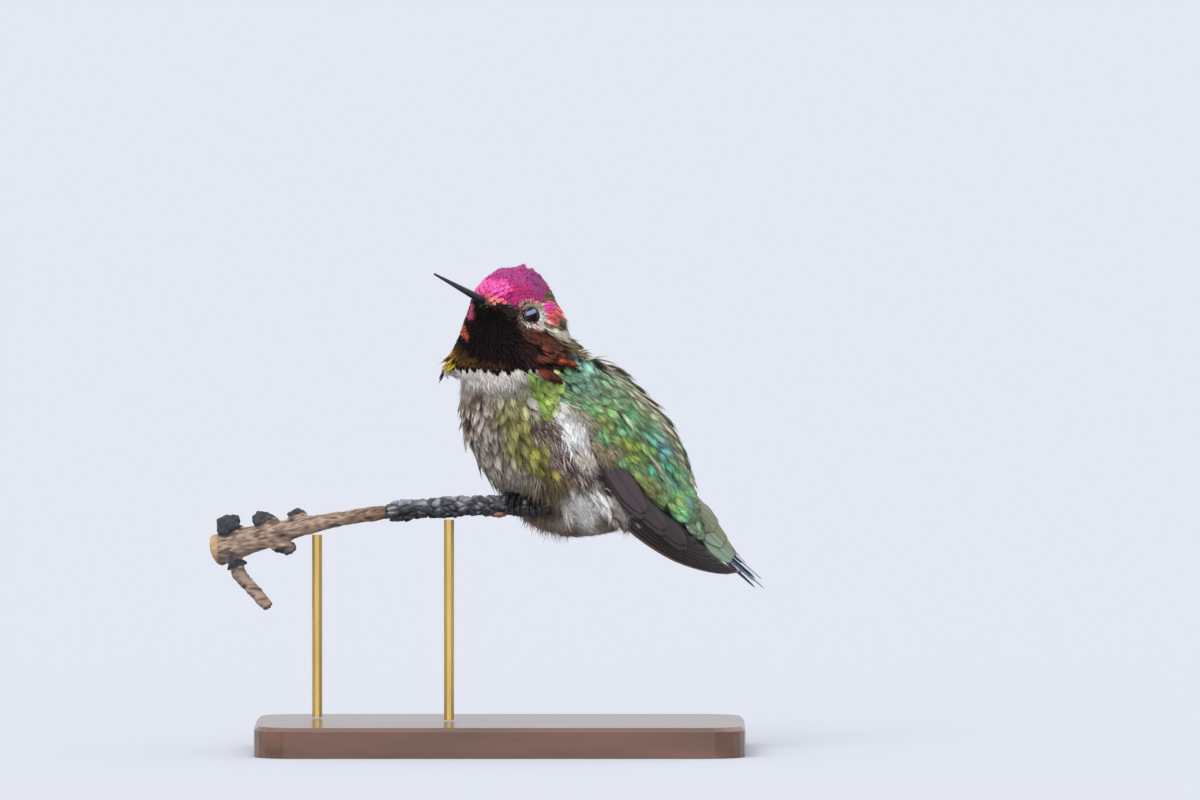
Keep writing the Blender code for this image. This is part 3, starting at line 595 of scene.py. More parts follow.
def combined(names, *cuts):
    """The nodes' faces in one mesh, each with its node's number. A cut keeps the side of its normal."""
    bm = bmesh.new()
    owner = []
    for name in names:
        bm.from_mesh(NODES[name].data)
        owner += [name] * (len(bm.faces) - len(owner))
    layer = bm.faces.layers.int.new("owner")
    for face, name in zip(bm.faces, owner):
        face[layer] = names.index(name)
    for point, normal in cuts:
        everything = bm.verts[:] + bm.edges[:] + bm.faces[:]
        result = bmesh.ops.bisect_plane(bm, geom=everything, plane_co=Vector(point) * MM,
                                        plane_no=-Vector(normal), clear_outer=True, dist=1e-7)
        edges = [e for e in result["geom_cut"] if isinstance(e, bmesh.types.BMEdge)]
        bmesh.ops.holes_fill(bm, edges=edges)
    bmesh.ops.remove_doubles(bm, verts=bm.verts, dist=1e-7)
    return bm


def owned_by(owners, *names):
    """Which points come from the named nodes."""
    return np.isin(owners, [ALL_FLESH.index(name) for name in names])


def coat_depth(p, owners, normals):
    """How far the skin lies inside the outside of the plumage."""
    coverts = "wing_left_coverts", "wing_right_coverts"
    depth = np.full(len(p), 1.5 + FOLD_FILL)
    for names, value in ((("head",), 0.8), (("throat",), 0.9), (("neck",), 1.7 + FOLD_FILL),
                         (("rump",), 1.9 + FOLD_FILL), (coverts, 1.3 + FOLD_FILL), (WING_NODES, 0.4)):
        depth[owned_by(owners, *names)] = value
    along, _, _ = body_coords(p)
    at_tail = np.minimum(depth, 0.35 + 1.0 * smoothstep(0.2, 0.7, normals @ DORSAL))
    depth = depth + (at_tail - depth) * smoothstep(43.5, 47, along)
    for place in (eye_centre(1), eye_centre(-1), BILL_ROOT):
        near = np.linalg.norm(p - place, axis=1)
        depth = np.minimum(depth, 0.15 + 0.55 * smoothstep(2.0, 4.5, near) + 3.0 * smoothstep(4.5, 9.0, near))
    return depth


def smoothed(values, triangles, rounds):
    """Values at vertices, each averaged with its neighbours' again and again."""
    ends = np.concatenate([triangles[:, [0, 1]], triangles[:, [1, 2]], triangles[:, [2, 0]]])
    degree = np.bincount(ends[:, 0], minlength=len(values))[:, None]
    for _ in range(rounds):
        total = np.stack([np.bincount(ends[:, 0], v[ends[:, 1]], len(values)) for v in values.T], axis=1)
        values = 0.5 * values + 0.5 * total / np.maximum(degree, 1)
    return values


def make_skin():
    """One closed skin for the nodes of flesh."""
    body = combined(FLESH)
    wings = combined(WING_NODES, WING_CUT)
    wing_tops = combined(WING_NODES, WING_TOP_CUT, WING_END_CUT)
    tail = combined(TAIL_NODES, TAIL_CUT)
    bill_root = bmesh.new()
    turn = Vector(HEAD_FORWARD).to_track_quat("Z", "Y").to_matrix().to_4x4()
    place = Matrix.Translation(Vector((BILL_ROOT - HEAD_FORWARD * 0.6) * MM)) @ turn
    bmesh.ops.create_cone(bill_root, cap_ends=True, segments=20, radius1=2.4 * MM, radius2=0.85 * MM,
                          depth=4.4 * MM, matrix=place)
    sockets = bmesh.new()
    for side in (1, -1):
        bmesh.ops.create_icosphere(sockets, subdivisions=3, radius=1.45 * MM, matrix=Matrix.Translation(
            Vector(head_point(*(SOCKET_PLACE * vec(1, side, 1)))) * MM))
    joined = bmesh.new()
    for bm in (body, wings, wing_tops, tail, bill_root, sockets):
        bm.normal_update()
        layer = bm.faces.layers.int.get("owner")
        for vertex, normal in [(v, v.normal.copy()) for v in bm.verts]:
            swell = SWELL
            if bm is body and all(FLESH[face[layer]] not in ("head", "throat") for face in vertex.link_faces):
                swell += FOLD_FILL
            vertex.co += normal * (swell * MM)
        mesh = bpy.data.meshes.new("part")
        bm.to_mesh(mesh)
        bm.free()
        joined.from_mesh(mesh)
    mesh = bpy.data.meshes.new("skin")
    joined.to_mesh(mesh)
    joined.free()
    mesh, verts, normals = remeshed(mesh, SKIN_VOXEL, 6)

    cad = combined(ALL_FLESH)
    layer = cad.faces.layers.int["owner"]
    cad.faces.ensure_lookup_table()
    tree = BVHTree.FromBMesh(cad)
    owners = np.array([cad.faces[tree.find_nearest(Vector(v * MM))[2]][layer] for v in verts])
    cad.free()
    verts = verts - normals * coat_depth(verts, owners, normals)[:, None]
    mesh.calc_loop_triangles()
    triangles = threes(mesh.loop_triangles, "vertices", np.int32)
    x, z = side_view(verts, normals)
    in_fold = in_oval(x, z, *WING_FOLD)[:, None]
    filled = smoothed(verts, triangles, 90)
    verts = verts + (filled - verts) * in_fold
    set_points(mesh, verts)
    mesh.update()
    normals = unit(normals * (1 - in_fold) + threes(mesh.vertices, "normal") * in_fold)
    return mesh, verts, normals, triangles, owners


SKIN_MESH, SKIN, SKIN_NORMALS, SKIN_TRIS, SKIN_OWNERS = make_skin()
SKIN_NORMALS = unit(smoothed(SKIN_NORMALS, SKIN_TRIS, 24))
TREE = BVHTree.FromPolygons(SKIN.tolist(), SKIN_TRIS.tolist())
TRI_CENTRES = SKIN[SKIN_TRIS].mean(axis=1)
TRI_NORMALS = unit(SKIN_NORMALS[SKIN_TRIS].mean(axis=1))
TRI_AREAS = 0.5 * np.linalg.norm(np.cross(SKIN[SKIN_TRIS[:, 1]] - SKIN[SKIN_TRIS[:, 0]],
                                          SKIN[SKIN_TRIS[:, 2]] - SKIN[SKIN_TRIS[:, 0]]), axis=1)
TRI_OWNERS = SKIN_OWNERS[SKIN_TRIS[:, 0]]
TRI_OPEN = np.array([TREE.ray_cast(Vector(c + n * 0.1), Vector(n), 1.6)[0] is None
                     for c, n in zip(TRI_CENTRES, TRI_NORMALS)])  # not inside a fold of the skin


def zone_masks(p, normals, owners):
    """Which tract of plumage each point of the skin belongs to."""

    def wavering_view(is_head):
        x, z = side_view(p, normals, is_head)
        return x + 0.45 * ripple(p, 2.2, 3), z + 0.45 * ripple(p, 2.2, 4)

    head, throat = owned_by(owners, "head"), owned_by(owners, "throat")
    x, z = wavering_view(head | throat)
    above_crown_edge = z > np.interp(x, *CROWN_EDGE.T)
    above_gorget_edge = z > np.interp(x, *GORGET_EDGE.T)
    collar_edge = COLLAR_TOP - 0.04 * (p[:, 0] + 8) + 0.3 * ripple(p, 1.6, 5)
    gorget = (head | throat) & ~above_gorget_edge & (p[:, 2] > collar_edge)
    crown = head & above_crown_edge
    rest = (head | throat) & above_gorget_edge & ~crown
    nape = rest & ((x > NAPE_START) | (throat & (x > NAPE_START_BELOW)))
    face = rest & ~nape
    masks = {"crown": crown, "face": face, "nape": nape, "gorget": gorget}
    left_over = ~(crown | gorget | nape | face)
    x, z = wavering_view(False)
    for name, border in (("shoulder", SHOULDER), ("tuft", TUFT), ("band", BAND), ("back", BACK),
                         ("vent", VENT)):
        masks[name] = left_over & inside(x, z, border)
        left_over = left_over & ~masks[name]
    masks["collar"] = left_over & (z > COLLAR_BOTTOM)
    masks["breast"] = left_over & ~masks["collar"]
    return masks


TRACTS = zone_masks(TRI_CENTRES, TRI_NORMALS, TRI_OWNERS)
# Tracts that take the markings of another.
MARKED_AS = {"nape": "face", "shoulder": "breast", "tuft": "breast", "band": "breast", "vent": "breast",
             "collar": "breast"}


def finish_skin():
    """The skin's object, with the same markings as the coat but darker, as down and shade are."""
    colours = np.zeros((len(SKIN), 3))
    for zone, mask in zone_masks(SKIN, SKIN_NORMALS, SKIN_OWNERS).items():
        shade = 0.95 if zone in ("tuft", "vent", "collar") else 0.4
        colours[mask] = markings(SKIN[mask], SKIN_NORMALS[mask], MARKED_AS.get(zone, zone)) * shade
    set_tint(SKIN_MESH, colours)
    down, nodes, links, shader = new_material("skin_down")
    fluff = noise(nodes, links, 2600, 4)
    shade_tint(nodes, links, shader, math_node(nodes, links, "MULTIPLY_ADD", fluff, 0.9, 0.5))
    emboss(nodes, links, shader, fluff, 0.6, 0.0002)
    set_finish(shader, 0.85)
    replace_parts(add_object("skin", SKIN_MESH, down), *FLESH)


# ---------------------------------------------------------------- placing feathers


NEIGHBOURS = tuple(product((-1, 0, 1), repeat=3))


def scatter(mask, spacing):
    """Evenly spaced roots on the masked triangles: their points, normals and owners."""
    share = TRI_AREAS * mask * TRI_OPEN
    tries = int(share.sum() / spacing**2 * 7)
    picks = RNG.choice(len(share), tries, p=share / share.sum())
    a, b = RNG.random((2, tries))
    fold = a + b > 1
    a, b = np.where(fold, 1 - a, a), np.where(fold, 1 - b, b)
    weights = np.stack([1 - a - b, a, b], axis=1)[:, :, None]
    points = (SKIN[SKIN_TRIS[picks]] * weights).sum(axis=1)
    normals = unit((SKIN_NORMALS[SKIN_TRIS[picks]] * weights).sum(axis=1))
    cells, kept = {}, []
    for i, (cell, point) in enumerate(zip(np.floor(points / spacing).astype(int).tolist(), points.tolist())):
        near = (other for dx, dy, dz in NEIGHBOURS
                for other in cells.get((cell[0] + dx, cell[1] + dy, cell[2] + dz), ()))
        if all(math.dist(point, other) >= spacing for other in near):
            cells.setdefault(tuple(cell), []).append(point)
            kept.append(i)
    return points[kept], normals[kept], TRI_OWNERS[picks[kept]]


def lying(directions, normals):
    """Directions pressed flat onto the skin."""
    return unit(directions - normals * (directions * normals).sum(axis=-1, keepdims=True))


def turned(lie, normals, degrees):
    """Directions turned about the normals."""
    angle = np.radians(degrees)[:, None]
    return lie * np.cos(angle) + np.cross(normals, lie) * np.sin(angle)


def combed(directions, normals, stray):
    """Directions laid on the skin, each turned by chance by about stray degrees."""
    return turned(lying(directions, normals), normals, stray * RNG.normal(0, 1, len(normals)))


def on_skin(points):
    """The skin's nearest points."""
    return np.array([tuple(TREE.find_nearest(Vector(point))[0]) for point in points])


def settle(roots, normals, lie, length):
    """How high the skin stands above a straight feather at its tip: negative where the skin curves away."""
    below_tips = on_skin(roots + lie * length[:, None])
    heights = ((below_tips - roots) * normals).sum(axis=1)
    return np.clip(heights, -0.45 * length, 0.25 * length)


def jitter(n, spread):
    """Factors about 1, each off by up to the spread."""
    return 1 + spread * RNG.uniform(-1, 1, n)


VANE_ROWS = vec(0, 0.34, 0.62, 0.82, 0.94, 1.0)
VANE_COLUMNS = 5
VANE_PROFILE = vec(0.5, 0.88, 1.0, 0.86, 0.58, 0.3)
SCALE_PROFILE = vec(0.55, 0.9, 1.0, 0.97, 0.82, 0.5)


class Feathers:
    """A set of feathers: where each stands, how it lies and its measures."""

    def __init__(self, roots, normals, lie, length, width, rise, cup, profile=VANE_PROFILE):
        self.roots, self.normals, self.lie = roots, normals, lie
        self.length, self.width, self.rise, self.cup, self.profile = length, width, rise, cup, profile
        self.side = np.cross(normals, lie)
        self.drop = settle(roots, normals, lie, length)

    def at(self, share):
        """The point of the skin's tangent plane at a share of each feather's length."""
        return self.roots + self.lie * (share * self.length)[:, None]

    def place(self, u, v, lift=0.0):
        """Points at u along and v across, both feathers by points, on the vane's curved upper face."""
        fall = np.interp(u, VANE_ROWS, self.profile)
        height = (self.drop[:, None] * u**2 + self.rise[:, None] * u**0.9 + 0.05 + lift
                  + self.cup * self.width[:, None] / 2 * np.clip(1 - v**2, 0, 1) * fall * (0.4 + 0.6 * u))
        return (self.roots[:, None] + self.lie[:, None] * (u * self.length[:, None])[..., None]
                + self.side[:, None] * (v * self.width[:, None] / 2)[..., None]
                + self.normals[:, None] * height[..., None])


def vanes(coat, feathers, root, middle, rim, fringe, edge_from=0.5):
    """The feathers' closed vanes, coloured from root over middle to rim. fringe splits the tip."""
    n = len(feathers.roots)
    rows = len(VANE_ROWS)
    u = np.repeat(VANE_ROWS, VANE_COLUMNS)
    v = np.tile(np.linspace(-1, 1, VANE_COLUMNS), rows)
    profile = np.repeat(feathers.profile, VANE_COLUMNS)
    teeth = np.tile(np.arange(VANE_COLUMNS) % 2, rows) * 2.0 - 1
    reach = u + np.where(u > 0.8, fringe * teeth * (u - 0.8) / 0.2, 0) - 0.10 * u * v**2
    reach, across = (np.broadcast_to(a, (n, len(u))) for a in (reach, v * profile))
    body = smoothstep(0.1, 0.6, u)[None, :, None]
    edge = smoothstep(edge_from, 1.0, np.maximum(u, 0.55 * np.abs(v) + 0.45 * u))[None, :, None]
    colours = (root[:, None] * (1 - body) + middle[:, None] * body) * (1 - edge) + rim[:, None] * edge
    grain = np.stack([np.broadcast_to(u, (n, len(u))), np.broadcast_to(v, (n, len(u))),
                      np.broadcast_to(RNG.random((n, 1)), (n, len(u)))], axis=-1)
    coat.add(feathers.place(reach, across), grid_template(rows, VANE_COLUMNS), colours, grain, feathers.roots)


STRAND_SIDES = np.array([[0, 1, 4, 3], [1, 2, 5, 4], [2, 0, 3, 5]])
STRAND_ENDS = np.array([[3, 4, 6], [4, 5, 6], [5, 3, 6], [0, 2, 1]])


def spikes(coat, start, middle, tip, normals, thick, inner, outer, roots):
    """Fine three-sided spikes through three points each, coloured from inner to outer."""
    n = len(start)
    wide = np.cross(normals, unit(tip - start)) * (thick / 2)[:, None]
    tall = normals * (thick * 0.6)[:, None]
    points = np.stack([start - wide, start + wide, start + tall, middle - wide * 0.85, middle + wide * 0.85,
                       middle + tall * 0.85, tip], axis=1)
    u = vec(0, 0, 0, 0.55, 0.55, 0.55, 1)
    share = smoothstep(0.0, 1.0, u)[None, :, None]
    colours = inner[:, None] * (1 - share) + outer[:, None] * share
    number = np.broadcast_to(RNG.random((n, 1)), (n, 7))
    grain = np.stack([np.broadcast_to(u, (n, 7)), np.zeros((n, 7)), number], -1)
    coat.add(points, (STRAND_SIDES, STRAND_ENDS), colours, grain, roots)


def barbs(coat, feathers, inner, outer, per, reach, thick, stray=0.10, contrast=0.25, bare=0.12):
    """Fine barbs that leave each shaft on both sides, sweep forward over the vane and fray past its rim.

    bare is the share of the vane near the root that they leave bare.
    """
    n = len(feathers.roots)
    fan = np.linspace(-1, 1, per) + RNG.normal(0, 0.06, (n, per))
    start_u = np.reshape(bare, (-1, 1)) + 0.42 * (1 - np.abs(fan)) * (1 - np.reshape(bare, (-1, 1)))
    tip_u = reach * (1 - 0.30 * fan**2) * (1 + stray * RNG.normal(0, 1, (n, per)))
    tip_v = fan * 0.92 + stray * RNG.normal(0, 1, (n, per))
    middle_u, middle_v = start_u * 0.42 + tip_u * 0.58, fan * 0.68
    start = feathers.place(start_u, np.sign(fan) * 0.08, 0.0)
    middle = feathers.place(np.minimum(middle_u, 0.9), middle_v, 0.04)
    tip = feathers.place(tip_u, tip_v, 0.05 + 0.06 * RNG.random((n, per)))
    shade = 1 + contrast * RNG.uniform(-1, 1, (n * per, 1))
    normals, inner, outer, roots = (np.repeat(a, per, axis=0)
                                    for a in (feathers.normals, inner, outer, feathers.roots))
    spikes(coat, start.reshape(-1, 3), middle.reshape(-1, 3), tip.reshape(-1, 3), normals,
           thick * jitter(n * per, 0.2), inner * shade, outer * shade, roots)


def tufts(coat, feathers, inner, outer, per, thick, contrast):
    """Loose down: from each root a fan of fine spikes that bend as they fall."""
    spread, curl = 24.0, 0.15
    roots, normals, lie, side = (np.repeat(a, per, axis=0)
                                 for a in (feathers.roots, feathers.normals, feathers.lie, feathers.side))
    contrast = np.repeat(np.broadcast_to(contrast, len(feathers.roots)), per)[:, None]
    length, rise, drop = (np.repeat(a, per) for a in (feathers.length, feathers.rise, feathers.drop))
    n = len(roots)
    fan = np.tile(np.linspace(-1, 1, per), n // per)
    heading = turned(lie, normals, fan * spread + RNG.normal(0, 6, n))
    length = length * (1 - 0.25 * fan**2) * jitter(n, 0.25)
    start = roots + side * (fan * 0.3)[:, None]
    middle = start + heading * (0.55 * length)[:, None] + normals * (0.3 * drop + 0.75 * rise + 0.05)[:, None]
    bend = side * (curl * RNG.normal(0, 1, n) * length * 0.4)[:, None]
    tip = start + heading * length[:, None] + normals * (drop + rise * jitter(n, 0.6))[:, None] + bend
    shade = 1 + contrast * RNG.uniform(-1, 1, (n, 1))
    inner, outer = (np.repeat(colour, per, axis=0) * shade for colour in (inner, outer))
    spikes(coat, start, middle, tip, normals, thick * jitter(n, 0.25), inner, outer, roots)


def head_lattice(row_step, spacing):
    """Roots in rings round the bill, each staggered against the last, so that scales overlap like tiles."""
    first, last = 6, 150  # degrees from the bill
    radius_over, radius_around = 8.6, 9.0  # of the head, which turn lengths into angles
    centre = HEAD_CENTRE - HEAD_FORWARD * 1.0 - HEAD_UP * 2.0
    pole = unit(BILL_ROOT - centre)
    across = HEAD_LEFT
    over = unit(np.cross(pole, across))
    if over @ HEAD_UP < 0:
        over = -over
    roots, owners = [], []
    step = math.degrees(row_step / radius_over)
    for row, theta in enumerate(np.radians(np.arange(first, last, step))):
        count = max(6, round(2 * math.pi * math.sin(theta) * radius_around / spacing))
        for i in range(count):
            phi = 2 * math.pi * (i + 0.5 * (row % 2)) / count
            aim = pole * math.cos(theta) + (over * math.cos(phi) + across * math.sin(phi)) * math.sin(theta)
            place, _, index, _ = TREE.ray_cast(Vector(centre + aim * 40), Vector(-aim))
            if place is not None:
                roots.append(place)
                owners.append(TRI_OWNERS[index])
    roots = np.array(roots) + RNG.normal(0, 0.05, (len(roots), 3))
    return roots, smooth_normals(roots), np.array(owners)


def smooth_normals(points):
    """The skin's rounded normals at points."""
    return np.array([TRI_NORMALS[TREE.find_nearest(Vector(point))[2]] for point in points])


def away_from_bill(p):
    """Directions along which the head's feathers lie."""
    return unit(p - (BILL_ROOT - HEAD_FORWARD * 1.0))


# ---------------------------------------------------------------- the tracts


def eye_gaps(p):
    """Distance to the nearer eye's centre."""
    return np.min([np.linalg.norm(p - eye_centre(side), axis=1) for side in (1, -1)], axis=0)


def crown_and_gorget():
    """Small shining scales in rows. On top of the crown they stand up, ragged."""
    for zone, row_step, spacing in (("crown", 0.50, 0.80), ("gorget", 0.36, 0.60)):
        roots, normals, owners = head_lattice(row_step, spacing)
        pick = zone_masks(roots, normals, owners)[zone] & (eye_gaps(roots) > EYE_RADIUS + 0.25)
        roots, normals = roots[pick], normals[pick]
        count = len(roots)
        spin = 5 if zone == "crown" else 7 + 16 * smoothstep(77.4, 76.2, roots[:, 2])
        lie = combed(away_from_bill(roots), normals, spin)
        _, _, up = head_coords(roots)
        far = np.linalg.norm(roots - BILL_ROOT, axis=1)
        top = smoothstep(3.0, 6.0, up) * smoothstep(4.0, 8.0, far) * (zone == "crown")
        size = (0.74 + 0.26 * smoothstep(2.5, 9, far)) * jitter(count, 0.10)
        front = smoothstep(10, 5, far)[:, None]
        length = (1.55 + 0.5 * top) * size * (1 + 0.25 * top * RNG.uniform(-1, 1, count))
        clump = smoothstep(-0.5, 0.8, ripple(roots, 1.8, 12))
        rise = 0.26 * jitter(count, 0.3) + top * (0.15 + 1.0 * clump) * RNG.uniform(0.3, 1, count)
        if zone == "gorget":
            short = smoothstep(77.6, 76.1, roots[:, 2]) * RNG.uniform(0.15, 0.6, count)
            length = length * (0.85 + 0.6 * smoothstep(7, 15, far)) * (1 - short)
        set_of = Feathers(roots, normals, lie, length, 1.5 * spacing * size, rise, 0.22,
                          SCALE_PROFILE if zone == "crown" else VANE_PROFILE)
        tone = markings(set_of.at(0.9), normals, zone) * jitter(count, 0.18)[:, None]
        coat = Coat()
        if zone == "crown":
            bright = tone * (1.1 + 0.5 * smoothstep(0.5, 1.0, tone[:, :1]))
            vanes(coat, set_of, bright * (0.1 + 0.4 * front), bright * 0.9, bright * 1.2, fringe=0.04)
            barbs(coat, set_of, bright * 0.7, bright * 1.35, per=7, reach=1.06, thick=0.07, stray=0.05,
                  bare=0.3)
            coat.build("feathers_crown", SCALE_GLOSS, "crown")
        else:
            gold = smoothstep(0.02, 0.2, tone.max(axis=1))[:, None]
            rim = tone * 1.1 + rgb(74, 48, 38) * 0.22 * (1 - gold)
            vanes(coat, set_of, tone * 0.15, tone * (0.8 - 0.55 * gold), rim, fringe=0.05, edge_from=0.7)
            barbs(coat, set_of, tone * (0.7 - 0.5 * gold), rim * 1.3, per=6, reach=1.12, thick=0.055,
                  stray=0.08)
            coat.build("feathers_gorget", GORGET_SCALE, "throat")


def eye_frame(side):
    """An eye's centre, the axis that it looks along, and two directions across that."""
    axis = unit(HEAD_LEFT * side + HEAD_FORWARD * 0.30 + HEAD_UP * 0.03)
    first = unit(np.cross(axis, HEAD_UP))
    return eye_centre(side), axis, first, np.cross(axis, first)


def eye_rings(coat):
    """Short feathers in rings round each eye: white behind and below, buff above, dusky in front."""
    for side in (1, -1):
        centre, axis, first, second = eye_frame(side)
        for gap, long, count in ((0.10, 0.75, 34), (0.42, 0.95, 40), (0.80, 1.15, 44)):
            angle = turns(count)[:, None] + RNG.normal(0, 0.04, (count, 1))
            spoke = first * np.cos(angle) + second * np.sin(angle)
            aims = (centre + axis * (EYE_RADIUS * math.cos(EYE_OPENING) - 0.25)
                    + spoke * (EYE_RADIUS * math.sin(EYE_OPENING) + gap))
            roots = on_skin(aims)
            normals = unit(smooth_normals(roots) + 0.6 * axis)
            lie = lying(spoke + 0.55 * away_from_bill(roots), normals)
            back, low = -spoke @ HEAD_FORWARD, -spoke @ HEAD_UP
            white = smoothstep(-0.15, 0.35, back + 0.75 * low)
            if gap > 0.5:
                white = white * smoothstep(0.3, 0.7, back)
            front = smoothstep(0.35, 0.8, -back) * smoothstep(-0.6, 0.1, -low)
            buff = rgb(200, 182, 152) * (1 - front)[:, None] + rgb(70, 54, 46) * front[:, None]
            outside = markings(roots + spoke * 0.4, normals, "face")
            outer = smoothstep(0.5, 0.9, gap)
            plain = buff * (1 - outer) + outside * outer
            tone = plain * (1 - white)[:, None] + rgb(250, 246, 238) * white[:, None]
            tone = tone * jitter(count, 0.1)[:, None]
            set_of = Feathers(roots, normals, lie, long * jitter(count, 0.15), np.full(count, 0.42),
                              0.30 * jitter(count, 0.3), 0.25)
            vanes(coat, set_of, tone * 0.6, tone * 0.95, tone, fringe=0.1)
            barbs(coat, set_of, tone * 0.9, tone * 1.05, per=6, reach=1.25, thick=0.07, stray=0.1)


def face_and_nape():
    """Short soft feathers round the eyes and olive ones down the back of the head."""
    coat = Coat()
    for zone, spacing, long, wide, rise in (("face", 0.40, 1.0, 0.55, 0.24), ("nape", 0.62, 2.6, 0.9, 0.85)):
        roots, normals, _ = scatter(TRACTS[zone], spacing)
        gap = eye_gaps(roots)
        keep = gap > EYE_RADIUS + 0.05
        roots, normals, gap = roots[keep], normals[keep], gap[keep]
        count = len(roots)
        lie = away_from_bill(roots) + (0.8 * AXIS if zone == "nape" else 0)
        lie = combed(lie, normals, 9)
        length = long * jitter(count, 0.2) * (0.6 + 0.4 * smoothstep(2.2, 3.4, gap))
        set_of = Feathers(roots, normals, lie, length, wide * jitter(count, 0.15),
                          rise * jitter(count, 0.5), 0.2)
        tone = markings(set_of.at(0.8), normals, "face")
        vivid = smoothstep(0.25, 0.5, tone.max(axis=1) - tone.min(axis=1))[:, None]
        tone = tone * jitter(count, 0.22)[:, None] * (1 + 2.2 * vivid)
        fray = tone * (0.9 + 0.2 * vivid) + rgb(150, 138, 110) * 0.18 * (1 - vivid)
        vanes(coat, set_of, tone * 0.45, tone * 0.9, tone, fringe=0.1)
        barbs(coat, set_of, tone * 0.8, fray, per=6, reach=1.35, thick=0.08, stray=0.12, contrast=0.35)
    eye_rings(coat)
    coat.build("feathers_face", SOFT_VANE, "crown")


def from_the_side(x, z):
    """Points of the skin seen at x and z from the bird's left, or the nearest where none is."""
    outside = -80.0
    found = []
    for a, b in zip(x, z):
        place = TREE.ray_cast(Vector((a, outside, b)), Vector((0, 1, 0)))[0]
        found.append(tuple(place or TREE.find_nearest(Vector((a, 2.0, b)))[0]))
    return np.array(found)


def gorget_flare():
    """Long feathers at the gorget's corners that stand out: fiery with black ends behind, golden in front."""
    coat = Coat()
    black, gold, orange = rgb(30, 18, 18), rgb(214, 182, 54), rgb(228, 136, 58)
    for count, near, far, slope, fire, end, length, width, rise in (
            (7, (7.6, 80.0), (11.4, 78.6), -32, rgb(176, 88, 62), black, 3.6, 1.5, 0.3),
            (7, (6.6, 78.4), (10.2, 77.2), -42, rgb(134, 66, 50), black, 3.6, 1.5, 0.4),
            (5, (7.2, 76.6), (9.2, 75.4), -46, rgb(150, 62, 38), black, 4.3, 1.6, 0.5),
            (5, (9.9, 78.6), (11.7, 77.6), -37, rgb(244, 100, 54), black, 4.9, 1.9, 0.6),
            (4, (-9.4, 80.2), (-9.9, 78.0), 218, orange, orange, 2.7, 0.9, 0.3),
            (6, (-9.9, 78.0), (-8.6, 76.4), 230, gold, gold, 2.9, 1.0, 0.3)):
        share = np.linspace(0, 1, count)
        x = near[0] + (far[0] - near[0]) * share + RNG.normal(0, 0.25, count)
        z = near[1] + (far[1] - near[1]) * share + RNG.normal(0, 0.3, count)
        roots = from_the_side(x, z)
        heading = np.radians(slope + RNG.normal(0, 6, len(roots)))
        lie = np.stack([np.cos(heading), 0 * heading - 0.12, np.sin(heading)], axis=1)
        if slope < 0:  # the far corner has the same feathers
            far_roots = on_skin(roots - 2 * ((roots - HEAD_CENTRE) @ HEAD_LEFT)[:, None] * HEAD_LEFT)
            far_lie = lie - 2 * (lie @ HEAD_LEFT)[:, None] * HEAD_LEFT
            roots, lie = np.concatenate([roots, far_roots]), np.concatenate([lie, far_lie])
        normals = smooth_normals(roots)
        n = len(roots)
        set_of = Feathers(roots, lying(normals, unit(lie)), unit(lie), length * jitter(n, 0.12),
                          width * jitter(n, 0.15), rise * jitter(n, 0.3), 0.25)
        set_of.drop *= 0
        glow = fire * jitter(n, 0.3)[:, None]
        ends = np.broadcast_to(end, glow.shape)
        vanes(coat, set_of, glow * 0.3, glow * 1.2, ends, fringe=0.05, edge_from=0.3)
        barbs(coat, set_of, glow * 0.5, ends * 1.1, per=13, reach=1.12, thick=0.08, stray=0.06, contrast=0.5)
    coat.build("feathers_gorget_flare", SCALE_GLOSS, "throat")


BRONZE = rgb(150, 132, 108)


def back_feathers():
    """Green back, scapulars and rump: broad flat vanes under fine barbs, their loose tips bronze and grey."""
    place, _, left_of = body_coords(TRI_CENTRES)
    for part, low, high in (("mantle", -20, 20), ("scapulars", 20, 35), ("rump", 35, 45.5)):
        for name, side in SIDES:
            coat = Coat()
            mask = TRACTS["back"] & (place >= low) & (place < high) & (left_of * side >= 0)
            mask &= TRI_NORMALS @ AXIS < (0.30 if part == "rump" else 0.45)
            roots, normals, _ = scatter(mask, 0.98)
            count = len(roots)
            along, _, _ = body_coords(roots)
            slim = smoothstep(38, 50, along)
            neat = smoothstep(29, 36, along)
            lie = combed(AXIS, normals, 9 * (1 - 0.6 * slim))
            size = (0.70 + 0.40 * smoothstep(-2, 24, along)) * jitter(count, 0.12)
            ragged = smoothstep(0.5, 0.2, np.abs(normals[:, 1])) * smoothstep(6, 12, along)  # at the spine
            rise = (0.38 + 0.35 * ragged) * (1 - 0.75 * slim) * jitter(count, 0.5)
            rise = rise + 0.7 * smoothstep(35, 38, along) * smoothstep(43, 40, along)
            set_of = Feathers(roots, normals, lie, 3.8 * size * (1 + 0.1 * neat),
                              2.2 * size * (1 + 0.25 * neat), rise * (1 - 0.4 * neat), 0.12)
            tone = markings(set_of.at(0.8), normals, "back") * (1.3 + 0.2 * neat)[:, None]
            tone = tone * (1 + 0.25 * ripple(roots, 3.0, 2))[:, None] * jitter(count, 0.22)[:, None]
            spine = smoothstep(0.62, 0.25, np.abs(normals[:, 1])) * smoothstep(0, 6, along)
            spine = spine * (0.66 + 0.3 * ripple(roots, 2.0, 5))
            tone = tone + (rgb(206, 188, 174) - tone) * spine[:, None]
            bronze = BRONZE * (jitter(count, 0.35) * (1 + 1.2 * spine))[:, None]
            edge = (tone * 0.3 + bronze * 0.8) * (1 - 0.5 * neat)[:, None] + tone * (0.5 * neat)[:, None]
            vanes(coat, set_of, tone * 0.15, tone * 0.85, edge * 0.7, fringe=0.06, edge_from=0.68)
            barbs(coat, set_of, tone * 1.05, edge, per=15, reach=(1.42 - 0.38 * neat)[:, None], thick=0.11,
                  contrast=0.55, bare=0.2)
            coat.build(f"feathers_{part}_{name}", BACK_VANE, "back")


